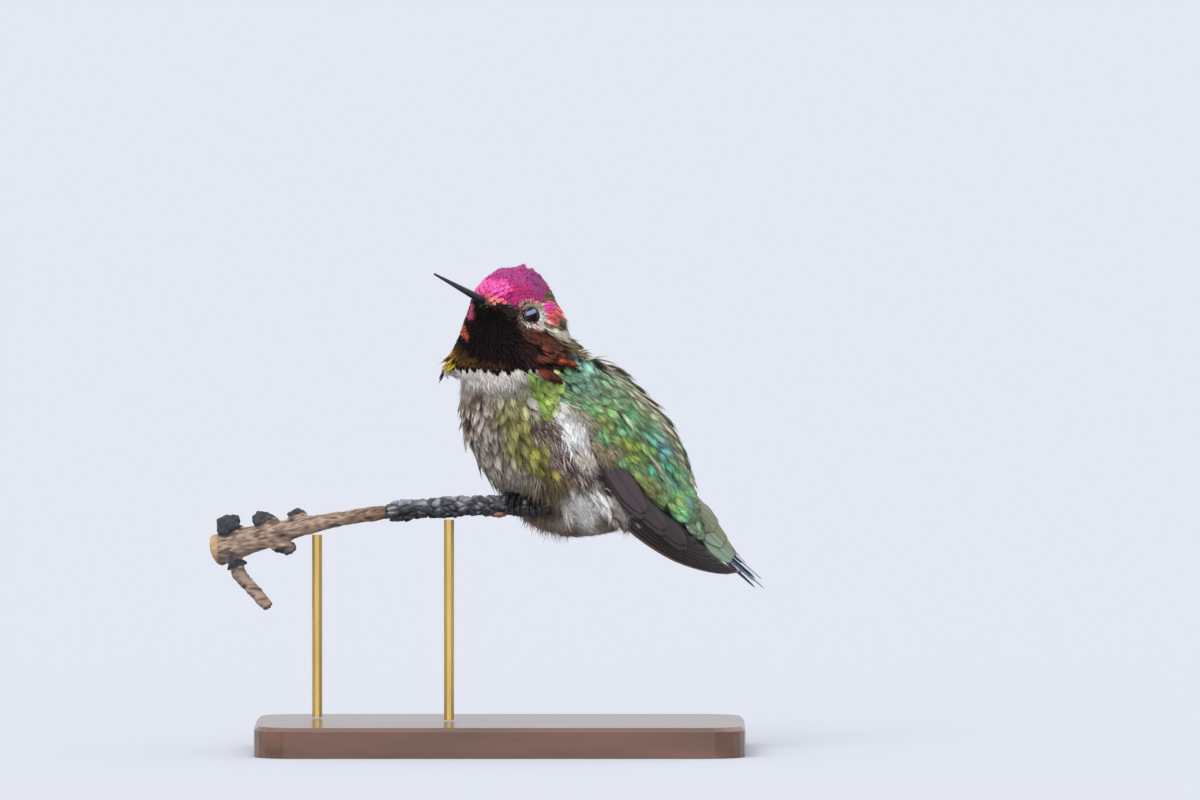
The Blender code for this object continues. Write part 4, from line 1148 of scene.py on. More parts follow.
def breast_feathers():
    """Grey and olive breast and belly: each feather has a dusky middle and a pale, loose rim."""
    _, _, left_of = body_coords(TRI_CENTRES)
    for name, side in SIDES:
        coat = Coat()
        roots, normals, _ = scatter(TRACTS["breast"] & (left_of * side >= 0), 0.98)
        count = len(roots)
        lie = combed(AXIS - 0.35 * UP - 0.12 * DORSAL, normals, 12)
        low = smoothstep(52, 46, roots[:, 2])
        length = 3.4 * jitter(count, 0.18) * (1 - 0.2 * low)
        width = 1.8 * jitter(count, 0.16)
        rise = (0.36 + 0.6 * smoothstep(0.1, 0.7, ripple(roots, 2.4, 8))) * jitter(count, 0.6)
        set_of = Feathers(roots, normals, lie, length, width, rise, 0.14)
        tone = markings(set_of.at(0.7), normals, "breast") * jitter(count, 0.14)[:, None]
        x, z = side_view(roots, normals)
        spotted = in_oval(x, z, *SPOTTED_BREAST)
        olive = smoothstep(0.25, 0.6, 1 - tone.min(axis=1) / tone.max(axis=1))[:, None]
        shade = smoothstep(-0.3, 0.5, ripple(roots, 1.7, 9))
        dusky = tone * (0.34 + 0.5 * shade * (1 - 0.6 * spotted))[:, None]
        pale = tone * (0.85 + 0.2 * olive) + rgb(214, 206, 194) * 0.42 * (1 - 0.8 * olive)
        vanes(coat, set_of, dusky * 0.5, dusky, pale * 0.8, fringe=0.12, edge_from=0.66)
        barbs(coat, set_of, dusky * 1.2, pale, per=15, reach=(1.5 - 0.3 * spotted)[:, None], thick=0.11,
              stray=0.15, contrast=0.6, bare=0.15 + 0.3 * spotted)
        coat.build(f"feathers_breast_{name}", SOFT_VANE, "breast")


def shoulder_patch():
    """The bright green patch in front of the folded wing."""
    coat = Coat()
    roots, normals, _ = scatter(TRACTS["shoulder"], 0.8)
    count = len(roots)
    lie = combed(AXIS - 0.3 * UP, normals, 14)
    set_of = Feathers(roots, normals, lie, 1.9 * jitter(count, 0.16), 1.5 * jitter(count, 0.16),
                      0.5 * jitter(count, 0.5), 0.2)
    tone = markings(roots, normals, "breast") * 0.3 + rgb(184, 206, 112) * 0.7
    tone = tone * jitter(count, 0.25)[:, None] * 1.3
    vanes(coat, set_of, tone * 0.4, tone * 0.95, tone, fringe=0.12)
    barbs(coat, set_of, tone * 0.8, tone * 1.15, per=11, reach=1.35, thick=0.1, stray=0.14, contrast=0.4)
    coat.build("feathers_shoulder", BACK_VANE, "breast")


def down_feathers():
    """Hair-like feathers: the collar, the tuft over the folded wing, the dark band, whose dark strands are
    partly painted shade, the vent and belly.
    """
    x, z = side_view(TRI_CENTRES, TRI_NORMALS)
    belly = TRACTS["breast"] & (z < BELLY_TOP) & (x > BELLY_FRONT) & (x < BELLY_REAR)
    belly &= np.abs(TRI_NORMALS[:, 1]) > 0.35
    for part, spacing, long, rise, down, per, thick in (
            ("collar", 0.58, 3.4, 0.5, 1.2, 11, 0.11), ("tuft", 0.50, 3.8, 0.55, 0.35, 11, 0.13),
            ("band", 0.56, 4.0, 0.7, 0.30, 9, 0.11), ("vent", 0.54, 3.9, 0.65, 0.6, 11, 0.13),
            ("belly", 0.72, 5.2, 0.6, 1.6, 11, 0.12)):
        coat = Coat()
        roots, normals, _ = scatter(belly if part == "belly" else TRACTS[part], spacing)
        count = len(roots)
        lie = combed(AXIS - down * UP, normals, 11)
        if part == "belly":
            lie = unit(0.3 * AXIS - UP + 0.35 * normals * vec(1, 1, 0) + RNG.normal(0, 0.12, (count, 3)))
            normals = lying(normals, lie)
        fall = np.ones(count)
        if part == "collar":
            fall = 1 - 0.5 * smoothstep(-6.5, -8.5, roots[:, 0])
        elif part == "belly":
            fall = 0.5 + 0.5 * smoothstep(2, 10, roots[:, 0])
        elif part == "vent":
            along, dorsal, _ = body_coords(roots)
            fall = 1 - 0.75 * smoothstep(-3.0, 0.0, dorsal - wing_low_edge(along, 1))
        set_of = Feathers(roots, normals, lie, long * jitter(count, 0.25) * fall, np.full(count, 1.0),
                          rise * jitter(count, 0.5) * fall, 0.1)
        if part == "belly":
            set_of.drop *= 0
        tone = markings(set_of.at(0.4), normals, "breast")
        dull = smoothstep(0.2, 0.45, 1 - tone.min(axis=1) / tone.max(axis=1))
        contrast = (0.3 if part == "collar" else 0.12) + 0.45 * dull
        if part == "belly":
            tone = tone * 0.62
        if part == "band":
            # The dark strands are partly the band's own dark streaks and partly painted shade where the
            # flank's feathers meet.
            pinkish = (RNG.random(count) < 0.42)[:, None]
            tone = np.where(pinkish, rgb(232, 208, 196), rgb(112, 92, 84)) * jitter(count, 0.35)[:, None]
            dull, contrast = np.ones(count), 0.5
        tufts(coat, set_of, tone * (0.96 - 0.5 * dull)[:, None], tone, per, thick, contrast)
        coat.build(f"feathers_{part}", DOWN_STRAND, "breast")


# ---------------------------------------------------------------- wings and tail

WING_START, WING_LATERAL, WING_LATERAL_TIP = 13.0, 15.3, 5.7
WING_DROOP = {1: 1.02, -1: 0.5}  # the far wing's lower edge sits higher
# The back's lower edge over the wing, and the secondaries' tips: along the body's axis and towards its back.
BACK_OVER_WING = outline(
    (20, -4.7), (28.8, -4.7), (35.7, -5.2), (40.0, -4.4), (45.6, -2.8), (52.1, -1.9), (55.3, -0.6))
SECONDARY_TIPS = (48.5, -5.7), (47.6, -5.0), (43.3, -6.9), (42.4, -6.2), (37.7, -8.2), (36.8, -7.4)


def wing_lateral(along, dorsal):
    """Distance of the folded wing from the sagittal plane, along the body's round side."""
    run = np.clip((along - 18) / 42, 0, 1)
    flank = WING_LATERAL + (WING_LATERAL_TIP - WING_LATERAL) * run**1.25
    return flank - 0.016 * np.maximum(0, 22 - along) ** 2 - 0.022 * (dorsal + 3.5) ** 2 * (1 - 0.6 * run)


def wing_low_edge(along, side):
    """The folded wing's lower edge, towards the back."""
    share = np.clip((along - WING_START) / 47.5, 0, 1)
    bow = np.sin(math.pi * np.minimum(1, 0.04 + 0.96 * share)) ** 0.6
    return -6.0 + 6.5 * share - 9.0 * bow * WING_DROOP[side]


def under_the_back(along, dorsal):
    """How far the back's feathers overlap the folded wing, 0 to 1."""
    return smoothstep(-0.2, 1.2, dorsal - np.interp(along, *BACK_OVER_WING.T))


def solid_sheet(grid, normals, half):
    """Points and faces of a closed leaf: the grid pushed both ways by half, which is nothing at the rim."""
    rows, columns = grid.shape[:2]
    index = np.arange(rows * columns).reshape(rows, columns)
    under = index.copy()
    under[1:-1, 1:-1] = rows * columns + np.arange((rows - 2) * (columns - 2)).reshape(rows - 2, columns - 2)
    top, bottom = grid + normals * half[..., None], grid - normals * half[..., None]
    points = np.concatenate([top.reshape(-1, 3), bottom[1:-1, 1:-1].reshape(-1, 3)])
    return points, np.concatenate([grid_faces(index), grid_faces(under)[:, ::-1]])


BLADE_ROWS, BLADE_COLUMNS = 34, 9


class Blades:
    """Long flight feathers, joined into one mesh, each with its own strip of the unwrapping."""

    def __init__(self, count):
        self.coat = Coat()
        self.total, self.made = count, 0

    def add(self, centre_of, half_width, point, tone, rim_tone, thick=0.07, ridge=0.1, tip=0.22, blunt=0.12):
        """centre_of gives the shaft's place on a sheet at shares along it. point puts the sheet in space."""
        t = np.linspace(0, 1, BLADE_ROWS)[:, None]
        v = np.linspace(-1, 1, BLADE_COLUMNS)[None, :]
        to_tip = np.sqrt(np.clip((1 - t) / tip, 0, 1))
        profile = np.minimum(1, 0.35 + 2.2 * t) * (blunt + (1 - blunt) * to_tip)
        swept = t - 0.02 * np.abs(v) * profile
        along, across = centre_of(np.clip(swept, 0, 1))
        across = across + v * half_width * profile
        grid = point(along, across)
        step = 0.05
        normals = unit(np.cross(point(along + step, across) - grid, point(along, across + step) - grid))
        from_root = grid - BODY_ROOT
        outward = np.sign((normals * (from_root - (from_root @ AXIS)[..., None] * AXIS)).sum())
        rim = (np.abs(v) < 1) * (t > 0) * (t < 1)
        half = rim * (thick * (1 - 0.8 * np.abs(v)) + ridge * (np.abs(v) < 0.1) * (1 - 0.6 * t))
        points, faces = solid_sheet(grid, normals * outward, half)
        edge = smoothstep(0.72, 1.0, np.maximum(np.abs(v), smoothstep(0.9, 1, t)))[..., None]
        shaft = (np.abs(v) < 0.1)[..., None] * np.ones_like(edge)
        colour = (tone * (1 - edge) + rim_tone * edge) * (1 - 0.45 * shaft)
        inner = slice(1, -1)
        spread = [np.broadcast_to(a, grid.shape[:2]) for a in (t * 6, v, self.made / self.total)]
        grain = np.stack(spread, axis=-1)
        colour = np.concatenate([colour.reshape(-1, 3), colour[inner, inner].reshape(-1, 3)])
        grain = np.concatenate([grain.reshape(-1, 3), grain[inner, inner].reshape(-1, 3)])
        self.coat.add(points[None], (faces,), colour[None], grain[None], points[:1])
        strip = (self.made + 0.5 + 0.4 * grain[:, 1]) / self.total
        self.coat.patches[-1] = np.stack([strip, 0.02 + 0.96 * grain[:, 0] / 6], axis=-1)
        self.made += 1


def add_wings():
    """Ten primaries and six secondaries a side. The outmost primary is the lower edge, nearest the body."""
    dusk, brown, pale = rgb(42, 32, 36), rgb(74, 58, 64), rgb(106, 88, 86)
    for name, side in SIDES:
        blades = Blades(16)

        def on_flank(lift):
            def point(along, dorsal):
                sink = (1.6 + lift) * under_the_back(along, dorsal) * smoothstep(57, 52, along)
                return body_point(along, dorsal, side * (wing_lateral(along, dorsal) + lift - sink))
            return point

        for k in range(10):
            end = 60.3 - 1.0 * k - 0.085 * k * k
            half = 1.75 - 0.03 * k

            def primary(t, k=k, end=end, half=half):
                along = WING_START + (end - WING_START) * t
                rise = 0.86 * k * (1 - 0.45 * smoothstep(25, 60, along))
                return along, wing_low_edge(along, side) + 0.95 * half + rise

            shade = 0.8 + 0.4 * RNG.random()
            rim = rgb(168, 130, 110) if k == 0 else pale * 0.36 * shade
            blades.add(primary, half, on_flank(0.1 + 0.15 * k), dusk * 0.62 * shade, rim, ridge=0.05)
        for k, (end, tip_dorsal) in enumerate(SECONDARY_TIPS):

            def secondary(t, end=end, tip_dorsal=tip_dorsal + (0 if side > 0 else 2.8)):
                along = WING_START + (end - WING_START) * t
                bow = np.sin(math.pi * np.clip(t, 0, 1))
                return along, -3.6 + (tip_dorsal + 3.6) * t - 1.2 * bow

            blades.add(secondary, 2.3, on_flank(1.75 + 0.10 * k), brown * (0.42 + 0.03 * k**1.6), pale * 0.5,
                       ridge=0.05, tip=0.2, blunt=0.2)
        wing = blades.coat.build(f"wing_{name}_flight", FLIGHT_VANE, "flight")
        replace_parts(wing, *(f"wing_{name}_{layer}" for layer in WING_LAYERS))


def add_tail():
    """Ten tail feathers, the middle pair on top and shortest, the outer ones narrow."""
    blades = Blades(10)
    root, run = 43.0, 20.0  # along the body's axis
    # The fourth pair from the middle is painted pale blue-white: a painted sheen on feathers that are dark.
    navy, blue, painted_gleam, bronze = rgb(22, 26, 42), rgb(24, 52, 112), rgb(214, 226, 240), rgb(112, 112, 88)
    pairs = ((1.1, 0.0, 58.6, 1.9, bronze), (1.9, 0.3, 60.4, 1.5, bronze), (2.6, 0.6, 64.8, 1.0, navy),
             (3.1, 0.95, 65.2, 0.85, painted_gleam), (3.6, 1.5, 66.3, 0.8, blue))
    for rank, (shift, drop, end, half, tone) in enumerate(pairs):
        for side in (1, -1):

            def rectrix(t, side=side, shift=shift, end=end):
                return root + (end - root) * t, side * shift * (0.65 + 0.35 * t)

            def lifted(along, left, drop=drop):
                share = (along - root) / run
                return body_point(along, 1.4 + 3.0 * share - drop - 0.055 * left * left, left)

            blades.add(rectrix, half, lifted, tone, tone * (1.15 if rank < 2 else 0.8), thick=0.06,
                       ridge=0.04, tip=0.35, blunt=0.1)
    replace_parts(blades.coat.build("tail_feathers", FLIGHT_VANE, "tail"), *TAIL_NODES)


def add_tail_coverts():
    """Long smooth feathers that roof the tail's root, from the spine down to the folded wings."""
    blades = Blades(33)

    def roof(lift):
        def point(along, left):
            fall = 0.075 + 0.003 * (along - 45)
            sunk = 2.6 * smoothstep(47.5, 41, along)
            return body_point(along, 4.7 - 0.10 * (along - 46) - fall * left**2 + lift - sunk, left)
        return point

    for start, end, reach, half, lift in ((43.0, 57.5, 8.0, 1.5, 0.0), (41.0, 54.0, 8.6, 1.4, 0.3),
                                          (40.0, 50.5, 9.0, 1.35, 0.6)):
        for out in np.linspace(-1, 1, 11):

            def centre(t, out=out, start=start, end=end, reach=reach):
                return start + (end - start) * t, out * reach * (0.7 + 0.5 * t - 0.6 * t * t)

            place = roof(lift)(*(vec(c) for c in centre(0.75)))
            tone = markings(place, vec(0, -1, 0)[None], "back")[0] * (0.9 + 0.2 * RNG.random())
            blades.add(centre, half, roof(lift + 0.12 * RNG.random()), tone * 0.9, tone * 1.1,
                       ridge=0.03, tip=0.3, blunt=0.2)
    blades.coat.build("feathers_tail_coverts", COVERT_VANE, "back")


# ---------------------------------------------------------------- bill, eyes and feet


def loft(name, rings, material, colours=None):
    """A closed skin over rings of equally many points, its ends fanned."""
    rings = np.array(rings)
    count, sides = rings.shape[:2]
    index = np.arange(count * sides).reshape(count, sides)
    beside = np.roll(index, -1, axis=1)
    quads = np.stack([index[:-1], beside[:-1], beside[1:], index[1:]], axis=-1).reshape(-1, 4)
    ends = [np.stack([np.full(sides - 2, ring[0]), ring[1:-1], ring[2:]], axis=-1)[:, ::step]
            for ring, step in ((index[0], -1), (index[-1], 1))]
    return add_mesh(name, rings.reshape(-1, 3), [quads, np.concatenate(ends)], material, colours)


def tube_rings(points, radii):
    """Rings across a path of points."""
    points, sides = np.array(points), 14
    rings = []
    ahead = unit(np.gradient(points, axis=0))
    for point, direction, radius in zip(points, ahead, radii):
        across = unit(np.cross(direction, vec(0.13, 0.31, 0.94)))
        over = np.cross(across, direction)
        angles = turns(sides)[:, None]
        rings.append(point + (across * np.cos(angles) + over * np.sin(angles)) * radius)
    return rings


def add_bill():
    """Two slender mandibles: the upper has a low keel and a groove near its root."""
    angles = np.linspace(0, math.pi, 19)
    for name, sign in (("bill_upper", 1), ("bill_lower", -1)):
        rings = []
        hidden = 1.2  # of the root, under the face's feathers
        for share in np.linspace(0, 1, 42) ** 1.15:
            taper = 1 - share
            wide = 0.22 + 0.80 * taper
            deep = 0.17 + (0.86 if sign > 0 else 0.62) * taper
            groove = 0.16 * smoothstep(0.42, 0.06, share) * (sign > 0)
            ahead = BILL_BASE - hidden + (BILL_TIP - BILL_BASE + hidden) * share
            centre = head_point(ahead, 0, -BILL_DROP + sign * 0.03)
            around = np.cos(angles)
            reach = np.sin(angles) ** 0.9 * (1 + 0.10 * np.exp(-(around / 0.25) ** 2) * (sign > 0))
            pinch = 1 - groove * np.exp(-((np.abs(around) - 0.72) / 0.16) ** 2)
            ring = (centre + HEAD_LEFT * (wide * around * pinch)[:, None]
                    + HEAD_UP * (sign * deep * reach * pinch)[:, None])
            rings.append(ring[::sign])
        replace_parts(loft(name + "_horn", rings, BILL_HORN), name)


def add_eyes():
    """Dark, wet eyes, each in a ring of bare lid, with a painted reflection of the sky across the upper part
    of each ball.
    """
    for name, side in SIDES:
        centre, axis, first, second = eye_frame(side)
        polar = np.linspace(0.02, math.pi - 0.02, 40)
        turn = turns(56)[:, None]
        rings, colours = [], []
        for angle in polar:
            bulge = EYE_RADIUS * (1 + 0.035 * math.exp(-((angle / 0.55) ** 2)))
            ring = (centre + axis * bulge * math.cos(angle)
                    + (first * np.cos(turn) + second * np.sin(turn)) * bulge * math.sin(angle))
            rings.append(ring)
            iris = smoothstep(0.42, 0.48, angle) * smoothstep(0.86, 0.78, angle)
            # A pale blue-grey band across the upper part of each ball is a painted reflection of the sky.
            above = (ring - centre) @ unit(UP * 0.8 + HEAD_FORWARD * 0.35) / EYE_RADIUS
            sky = smoothstep(0.36, 0.46, above) * smoothstep(0.78, 0.68, above)
            dark = rgb(6, 6, 8) * (1 - iris) + rgb(30, 18, 14) * iris
            colours.append(dark * (1 - sky)[:, None] + rgb(100, 112, 138) * sky[:, None])
        ball = loft(f"eye_{name}_ball", rings, EYE_GLOSS, np.concatenate(colours))
        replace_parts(ball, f"eye_{name}")
        lid = []
        round_eye, round_rim = 64, 10
        for angle in turns(round_eye):
            spoke = first * math.cos(angle) + second * math.sin(angle)
            outward = axis * math.cos(EYE_OPENING) + spoke * math.sin(EYE_OPENING)
            rim = centre + EYE_RADIUS * outward
            along = np.cross(axis, spoke)
            slope = np.cross(along, outward)
            girth = 0.17 * (1 + 0.15 * math.sin(angle * 18))
            ring = [rim + outward * (0.06 + girth * math.cos(a)) + slope * (girth * 1.1 * math.sin(a))
                    for a in turns(round_rim)]
            lid.append(ring)
        index = np.arange(round_eye * round_rim).reshape(round_eye, round_rim)
        on, beside = np.roll(index, -1, axis=0), np.roll(index, -1, axis=1)
        both = np.roll(on, -1, axis=1)
        faces = np.stack([index, on, both, beside], axis=-1).reshape(-1, 4)
        add_mesh(f"eye_{name}_lid", np.concatenate(lid), [faces], LID_SKIN)


def perch_radius(x):
    """The branch's usual radius at x, without its lumps."""
    swell = np.maximum(0, (-30 - x) / 26) ** 1.3
    pinch = np.maximum(0, (x - 4) / 6) ** 2
    return 1.45 + 1.8 * swell - 0.45 * pinch


def about_perch(x, angle, distance):
    """A point beside the branch at x: angle 0 is above it, positive towards the viewer."""
    along = unit(perch_point(x + 1) - perch_point(x - 1))
    side = unit(np.cross(along, UP))
    lift = np.cross(side, along)
    return perch_point(x) + (lift * math.cos(angle) + side * math.sin(angle)) * distance


# Name, place beside the middle toe, forward or back, and how far round the branch in degrees.
TOES = (("inner", -1.15, 1, 86), ("middle", 0, 1, 96), ("outer", 1.15, 1, 86), ("hind", 0, -1, 96))


def add_feet():
    """Legs, and scaled toes with claws round the branch: three in front and one behind on each foot."""
    toe_radius, bark, gap = 0.42, 0.55, 0.2
    for name, foot_x in (("right", 3.5), ("left", 7.6)):
        grip = perch_radius(foot_x) + bark + gap + toe_radius
        toes, claws = [], []
        for toe_name, shift, turn, last in TOES:
            shares = np.linspace(0, 1, 40)
            angles = np.radians(turn * (14 + (last - 14) * shares))
            path = [about_perch(foot_x + shift * min(1, 0.3 + 2.5 * s), a, grip)
                    for s, a in zip(shares, angles)]
            scutes = toe_radius * (1 - 0.15 * shares) * (1 + 0.07 * np.abs(np.sin(shares * 26)))
            scutes[[0, -1]] *= 0.4
            toes.append((toe_name, tube_rings(path, scutes)))
            shares = np.linspace(0, 1, 16)
            angles = np.radians(turn * (last - 2 + 44 * shares))
            path = [about_perch(foot_x + shift, a, grip - 0.05 + 0.12 * math.sin(math.pi * s))
                    for s, a in zip(shares, angles)]
            claws.append((toe_name, tube_rings(path, 0.30 * (1 - shares) ** 0.7 + 0.03)))
        for kind, made, material in (("toe", toes, FOOT_SCALE), ("claw", claws, CLAW_HORN)):
            for toe_name, rings in made:
                obj = loft(f"{kind}_{name}_{toe_name}_scaled", rings, material)
                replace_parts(obj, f"{kind}_{name}_{toe_name}")
        sole = about_perch(foot_x, 0, grip)
        hip = sole + TAILWARD * 1.5 - BODY_LEFT * 3.5 + UP * 5.0
        shares = np.linspace(0, 1, 30)
        path = [sole + (hip - sole) * s - TAILWARD * 0.4 * math.sin(math.pi * s) for s in shares]
        radii = 0.46 + 0.1 * shares + 0.03 * np.abs(np.sin(shares * 20))
        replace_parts(loft(f"leg_{name}_scaled", tube_rings(path, radii), FOOT_SCALE), f"leg_{name}")


# ---------------------------------------------------------------- the branch


def dress_perch(name, mesh, verts, colours, material, replaced):
    """Puts a fine copy of a node in its place, with its points moved and coloured."""
    set_points(mesh, verts)
    set_tint(mesh, np.clip(colours, 0, 1))
    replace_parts(add_object(name, mesh, material), replaced)


def crackle(p, centres):
    """Distance to the nearest crack between cells, in cell units, and a number for each cell."""
    best = np.full((len(p), 2), 1e9)
    owner = np.zeros(len(p), dtype=int)
    for i, centre in enumerate(centres):
        gap = np.linalg.norm((p - centre) * vec(0.62, 1, 1), axis=1)
        nearer = gap < best[:, 0]
        best[:, 1] = np.where(nearer, best[:, 0], np.minimum(best[:, 1], gap))
        best[:, 0] = np.where(nearer, gap, best[:, 0])
        owner[nearer] = i
    return best[:, 1] - best[:, 0], owner


def add_perch_wood():
    """Weathered bare wood with lumps of black bark."""
    mesh, verts, normals = remeshed(NODES["perch_wood"].data.copy(), 0.24, 2)
    middle = np.array([perch_point(x) for x in verts[:, 0]])
    off = verts - middle
    reach = np.linalg.norm(off[:, 1:], axis=1)
    fibre = ripple(verts * vec(0.16, 1, 1) + 3, 0.75, 1)
    fine = ripple(verts * vec(0.22, 1.2, 1.2), 0.34, 2)
    knots = smoothstep(0.35, 1.3, reach - perch_radius(verts[:, 0]))
    crust = smoothstep(0.1, 0.55, knots + 0.35 * ripple(verts, 3.2, 4) - 0.28 + 0.4 * (verts[:, 0] < -50))
    twig = (off[:, 2] < -4.5) & (verts[:, 0] < -42)  # nearly bare
    crust = np.where(twig, 0.15, crust)
    rough = ripple(verts, 1.3, 5) * 0.30 + ripple(verts, 0.55, 6) * 0.17
    groove = 0.22 * smoothstep(0.55, 0.95, fibre)
    lift = (1 - crust) * (0.11 * fibre + 0.05 * fine - groove) + crust * (0.28 + rough)
    cut = smoothstep(PERCH_CUT_X + 0.5, PERCH_CUT_X + 0.1, verts[:, 0])
    lift = lift * (1 - cut)
    pale, brown = rgb(150, 126, 108), rgb(112, 82, 62)
    wood = pale + (brown - pale) * smoothstep(-34, -22, verts[:, 0])[:, None]
    wood = wood * (0.78 + 0.35 * fibre + 0.25 * fine)[:, None]
    wood = wood * (1 - 0.75 * smoothstep(0.5, 0.9, fibre))[:, None]
    bark = rgb(44, 44, 50) * (0.8 + 0.9 * np.clip(rough, -0.3, 0.6))[:, None]
    colours = wood * (1 - crust)[:, None] + bark * crust[:, None]
    rings = rgb(182, 150, 112) * (0.82 + 0.18 * np.sin(reach * 9.0 + ripple(verts, 3, 7)))[:, None]
    colours = colours * (1 - cut)[:, None] + rings * cut[:, None]
    dress_perch("perch_wood_weathered", mesh, verts + normals * lift[:, None], colours, WOOD_GRAIN,
                "perch_wood")


def add_perch_char():
    """The branch's burnt end, cracked into blocks."""
    mesh, verts, normals = remeshed(NODES["perch_char"].data.copy(), 0.2, 3)
    blocks = 150
    xs = RNG.uniform(CHAR_START_X - 1, PERCH_TIP_X + 1, blocks)
    spokes = RNG.uniform(0, 2 * math.pi, blocks)
    centres = np.array([about_perch(x, a, perch_radius(x) + 0.55) for x, a in zip(xs, spokes)])
    gap, owner = crackle(verts, centres)
    block = RNG.uniform(-1, 1, blocks)[owner]
    valley = smoothstep(0.42, 0.06, gap)
    rough = ripple(verts * vec(0.5, 1, 1), 0.8, 3) * 0.07 + ripple(verts, 0.4, 8) * 0.04
    lift = 0.10 + 0.14 * block - 0.42 * valley + rough
    lift = lift * smoothstep(PERCH_TIP_X + 0.1, PERCH_TIP_X - 0.8, verts[:, 0])
    # Grey painted highlight on the blocks' upward faces, lighter on some blocks than others.
    painted_highlight = smoothstep(0.1, 0.9, normals[:, 2] + 0.5 * block + 0.5 * ripple(verts, 1.5, 9))[:, None]
    colours = rgb(34, 34, 42) + (rgb(124, 122, 136) - rgb(34, 34, 42)) * painted_highlight * 0.8
    colours = colours * (1 - 0.8 * valley)[:, None]
    colours = colours * (1 - 0.65 * smoothstep(-6, 1, verts[:, 0]))[:, None]  # darker towards the branch's end
    brown = smoothstep(0.35, 0.8, ripple(verts * vec(0.3, 1, 1), 1.6, 11) - normals[:, 2] * 0.7)
    brown = brown * smoothstep(-5.5, -3.5, verts[:, 0]) * smoothstep(3.4, 2.0, verts[:, 0])
    brown = (brown * (normals[:, 2] < 0))[:, None]  # bare wood shows below
    colours = colours * (1 - brown) + rgb(132, 84, 58) * brown
    dress_perch("perch_char_cracked", mesh, verts + normals * lift[:, None], colours, CHAR_CRUST,
                "perch_char")


# ---------------------------------------------------------------- materials in use


def tinted_material(name, roughness, scale, strength, distance, stretch=(1, 1, 1), specular=0.5):
    """Colour from the mesh, with fine noise in tone and relief."""
    made, nodes, links, shader = new_material(name)
    speckle = noise(nodes, links, scale, 5, stretch)
    shade_tint(nodes, links, shader, math_node(nodes, links, "MULTIPLY_ADD", speckle, 0.9, 0.55))
    emboss(nodes, links, shader, speckle, strength, distance)
    set_finish(shader, roughness, 0.0, specular)
    return made


def plain_material(name, colour, roughness, scale, depth, metallic=0.0, stretch=(1, 1, 1), contrast=0.3,
                   coat=0.0, specular=0.5):
    """One colour, streaked and embossed by noise."""
    made, nodes, links, shader = new_material(name)
    streak = noise(nodes, links, scale, 6, stretch)
    ramp = node(nodes, "ShaderNodeValToRGB")
    for element, place, tone in zip(ramp.color_ramp.elements, (0.32, 0.68), (1 - contrast, 1 + contrast)):
        element.position, element.color = place, (*(colour * tone), 1)
    links.new(streak, ramp.inputs[0])
    links.new(ramp.outputs[0], shader.inputs["Base Color"])
    emboss(nodes, links, shader, streak, 0.4, depth)
    set_finish(shader, roughness, metallic, specular)
    shader.inputs["Coat Weight"].default_value = coat
    shader.inputs["Coat Roughness"].default_value = 0.15
    return made


SCALE_GLOSS = feather_material("iridescent_scale", 0.38, 0.45, 60, 0.30, specular=0.3)
GORGET_SCALE = feather_material("dark_iridescent_scale", 0.5, 0.3, 60, 0.30, specular=0.12)
DOWN_STRAND = feather_material("white_down", 0.9, 0.0, 12, 0.06, specular=0.2)
BACK_VANE = feather_material("iridescent_back", 0.5, 0.35, 75, 0.35)
SOFT_VANE = feather_material("soft_feather", 0.85, 0.0, 85, 0.30, specular=0.25)
FLIGHT_VANE = feather_material("flight_feather", 0.45, 0.0, 300, 0.25)
COVERT_VANE = feather_material("tail_covert", 0.5, 0.0, 420, 0.10, specular=0.3)
BILL_HORN = plain_material("bill_horn", rgb(34, 32, 40), 0.28, 900, 0.00005, contrast=0.25)
FOOT_SCALE = plain_material("foot_scales", rgb(7, 6, 7), 0.6, 2500, 0.00008, specular=0.15)
CLAW_HORN = plain_material("claw_horn", rgb(22, 20, 22), 0.25, 1500, 0.00003)
LID_SKIN = plain_material("eyelid_skin", rgb(40, 34, 34), 0.5, 3000, 0.00008)
WOOD_GRAIN = tinted_material("weathered_wood", 0.8, 900, 0.5, 0.0002, stretch=(0.2, 1, 1))
CHAR_CRUST = tinted_material("charred_bark", 0.42, 1500, 0.5, 0.00015)
EYE_GLOSS = tinted_material("wet_eye", 0.04, 40, 0.0, 0.00001, specular=0.1)
STAND_WOOD = plain_material("stand_walnut", rgb(84, 52, 36), 0.35, 160, 0.0001, stretch=(0.12, 1, 1),
                            contrast=0.45, coat=0.4)
STAND_BRASS = plain_material("stand_brass", rgb(190, 160, 96), 0.3, 700, 0.00002, metallic=1.0,
                             stretch=(1, 1, 0.1), contrast=0.12)


def dress_stand():
    """Walnut and brass for the stand's own nodes, and softer edges for its base."""
    for name, material in (("base", STAND_WOOD), ("rod_left", STAND_BRASS), ("rod_right", STAND_BRASS)):
        for slot in NODES["stand_" + name].material_slots:
            slot.material = material
    soft = NODES["stand_base"].modifiers.new("Soft edges", "BEVEL")
    soft.width, soft.segments, soft.limit_method, soft.angle_limit = 0.25 * MM, 2, "ANGLE", math.radians(35)


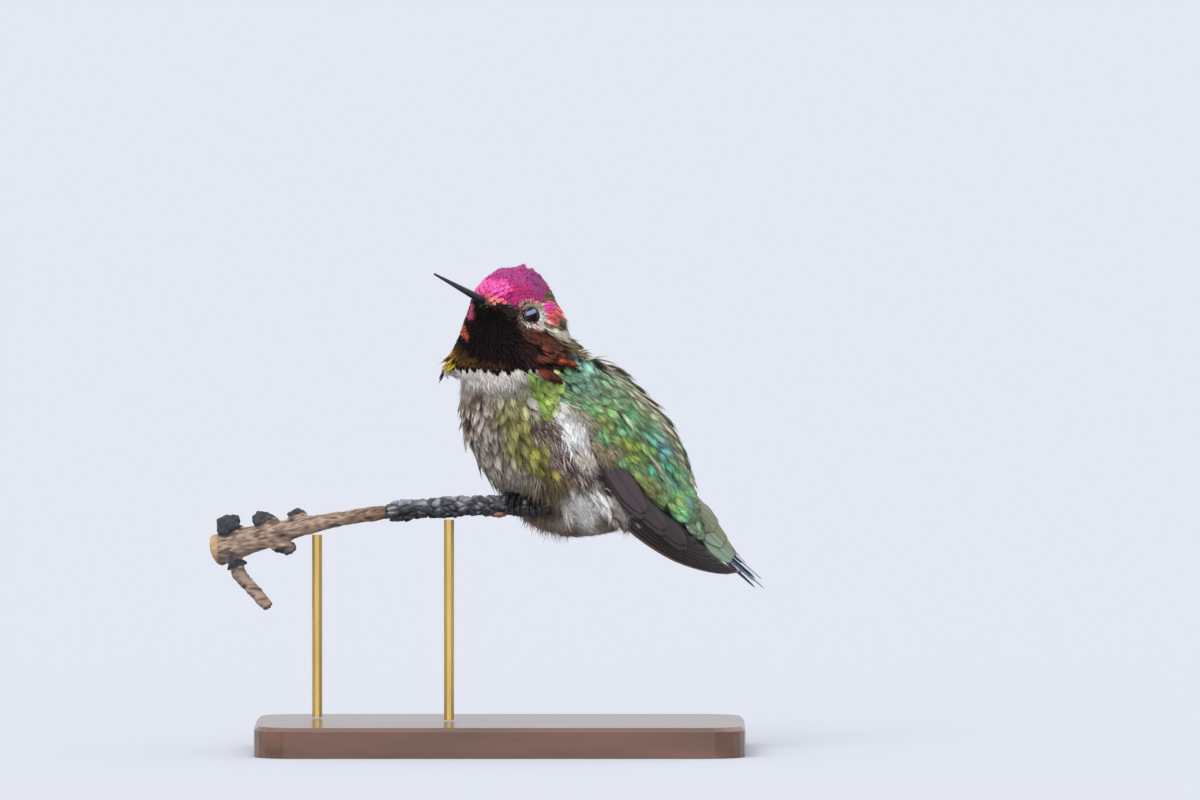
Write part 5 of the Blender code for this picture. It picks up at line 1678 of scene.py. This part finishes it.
finish_skin()
crown_and_gorget()
face_and_nape()
gorget_flare()
back_feathers()
breast_feathers()
shoulder_patch()
down_feathers()
add_wings()
add_tail()
add_tail_coverts()
add_bill()
add_eyes()
add_feet()
add_perch_wood()
add_perch_char()
dress_stand()


# ---------------------------------------------------------------- floor, light and camera

FLOOR_COLOUR = rgb(176, 178, 184)
SKY_COLOUR, SKY_STRENGTH = (0.90, 0.94, 1.0, 1), 0.95
# Name, where it shines, spread in degrees and strength.
SUNS = (("key_light", (0.35, 0.75, -0.9), 50, 2.6), ("top_light", (-0.3, -0.25, -1.0), 70, 0.9),
        ("fill_light", (0.0, 1.0, 0.25), 80, 2.3))


def add_stage():
    """A pale floor as far as the eye sees, an even sky and soft light from above and in front."""
    verts = [(x * 12.0, y, 0.0) for y in (-6.0, 26.0) for x in (-1, 1)]
    mesh = bpy.data.meshes.new("floor_paper")
    mesh.from_pydata(verts, [], [(0, 1, 3, 2)])
    floor = new_object("floor_paper", mesh)
    paper, _, _, shader = new_material("floor_paper")
    shader.inputs["Base Color"].default_value = (*FLOOR_COLOUR, 1)
    set_finish(shader, 1.0, specular=0.0)
    mesh.materials.append(paper)

    world = bpy.data.worlds.new("sky")
    bpy.context.scene.world = world
    world.use_nodes = True
    sky = world.node_tree.nodes["Background"]
    sky.inputs[0].default_value = SKY_COLOUR
    sky.inputs[1].default_value = SKY_STRENGTH
    for name, heading, spread, strength in SUNS:
        light = bpy.data.lights.new(name, "SUN")
        light.angle, light.energy = math.radians(spread), strength
        new_object(name, light).rotation_euler = Vector(heading).to_track_quat("-Z", "Y").to_euler()


def add_camera():
    """Looks at the bird's left side and two degrees down, from so far that little perspective shows."""
    target = Vector((19.6, 0, 69.0)) * MM
    elevation = math.radians(2.0)
    distance, view_width = 4.0, 0.2353
    data = bpy.data.cameras.new("camera")
    data.sensor_width = 36
    data.lens = data.sensor_width * distance / view_width
    data.clip_start, data.clip_end = 0.5, 30
    camera = new_object("camera", data)
    camera.location = target + Vector((0, -math.cos(elevation), math.sin(elevation))) * distance
    camera.rotation_euler = (math.pi / 2 - elevation, 0, 0)
    bpy.context.scene.camera = camera
    bpy.context.scene.view_settings.view_transform = "Standard"


add_stage()
add_camera()
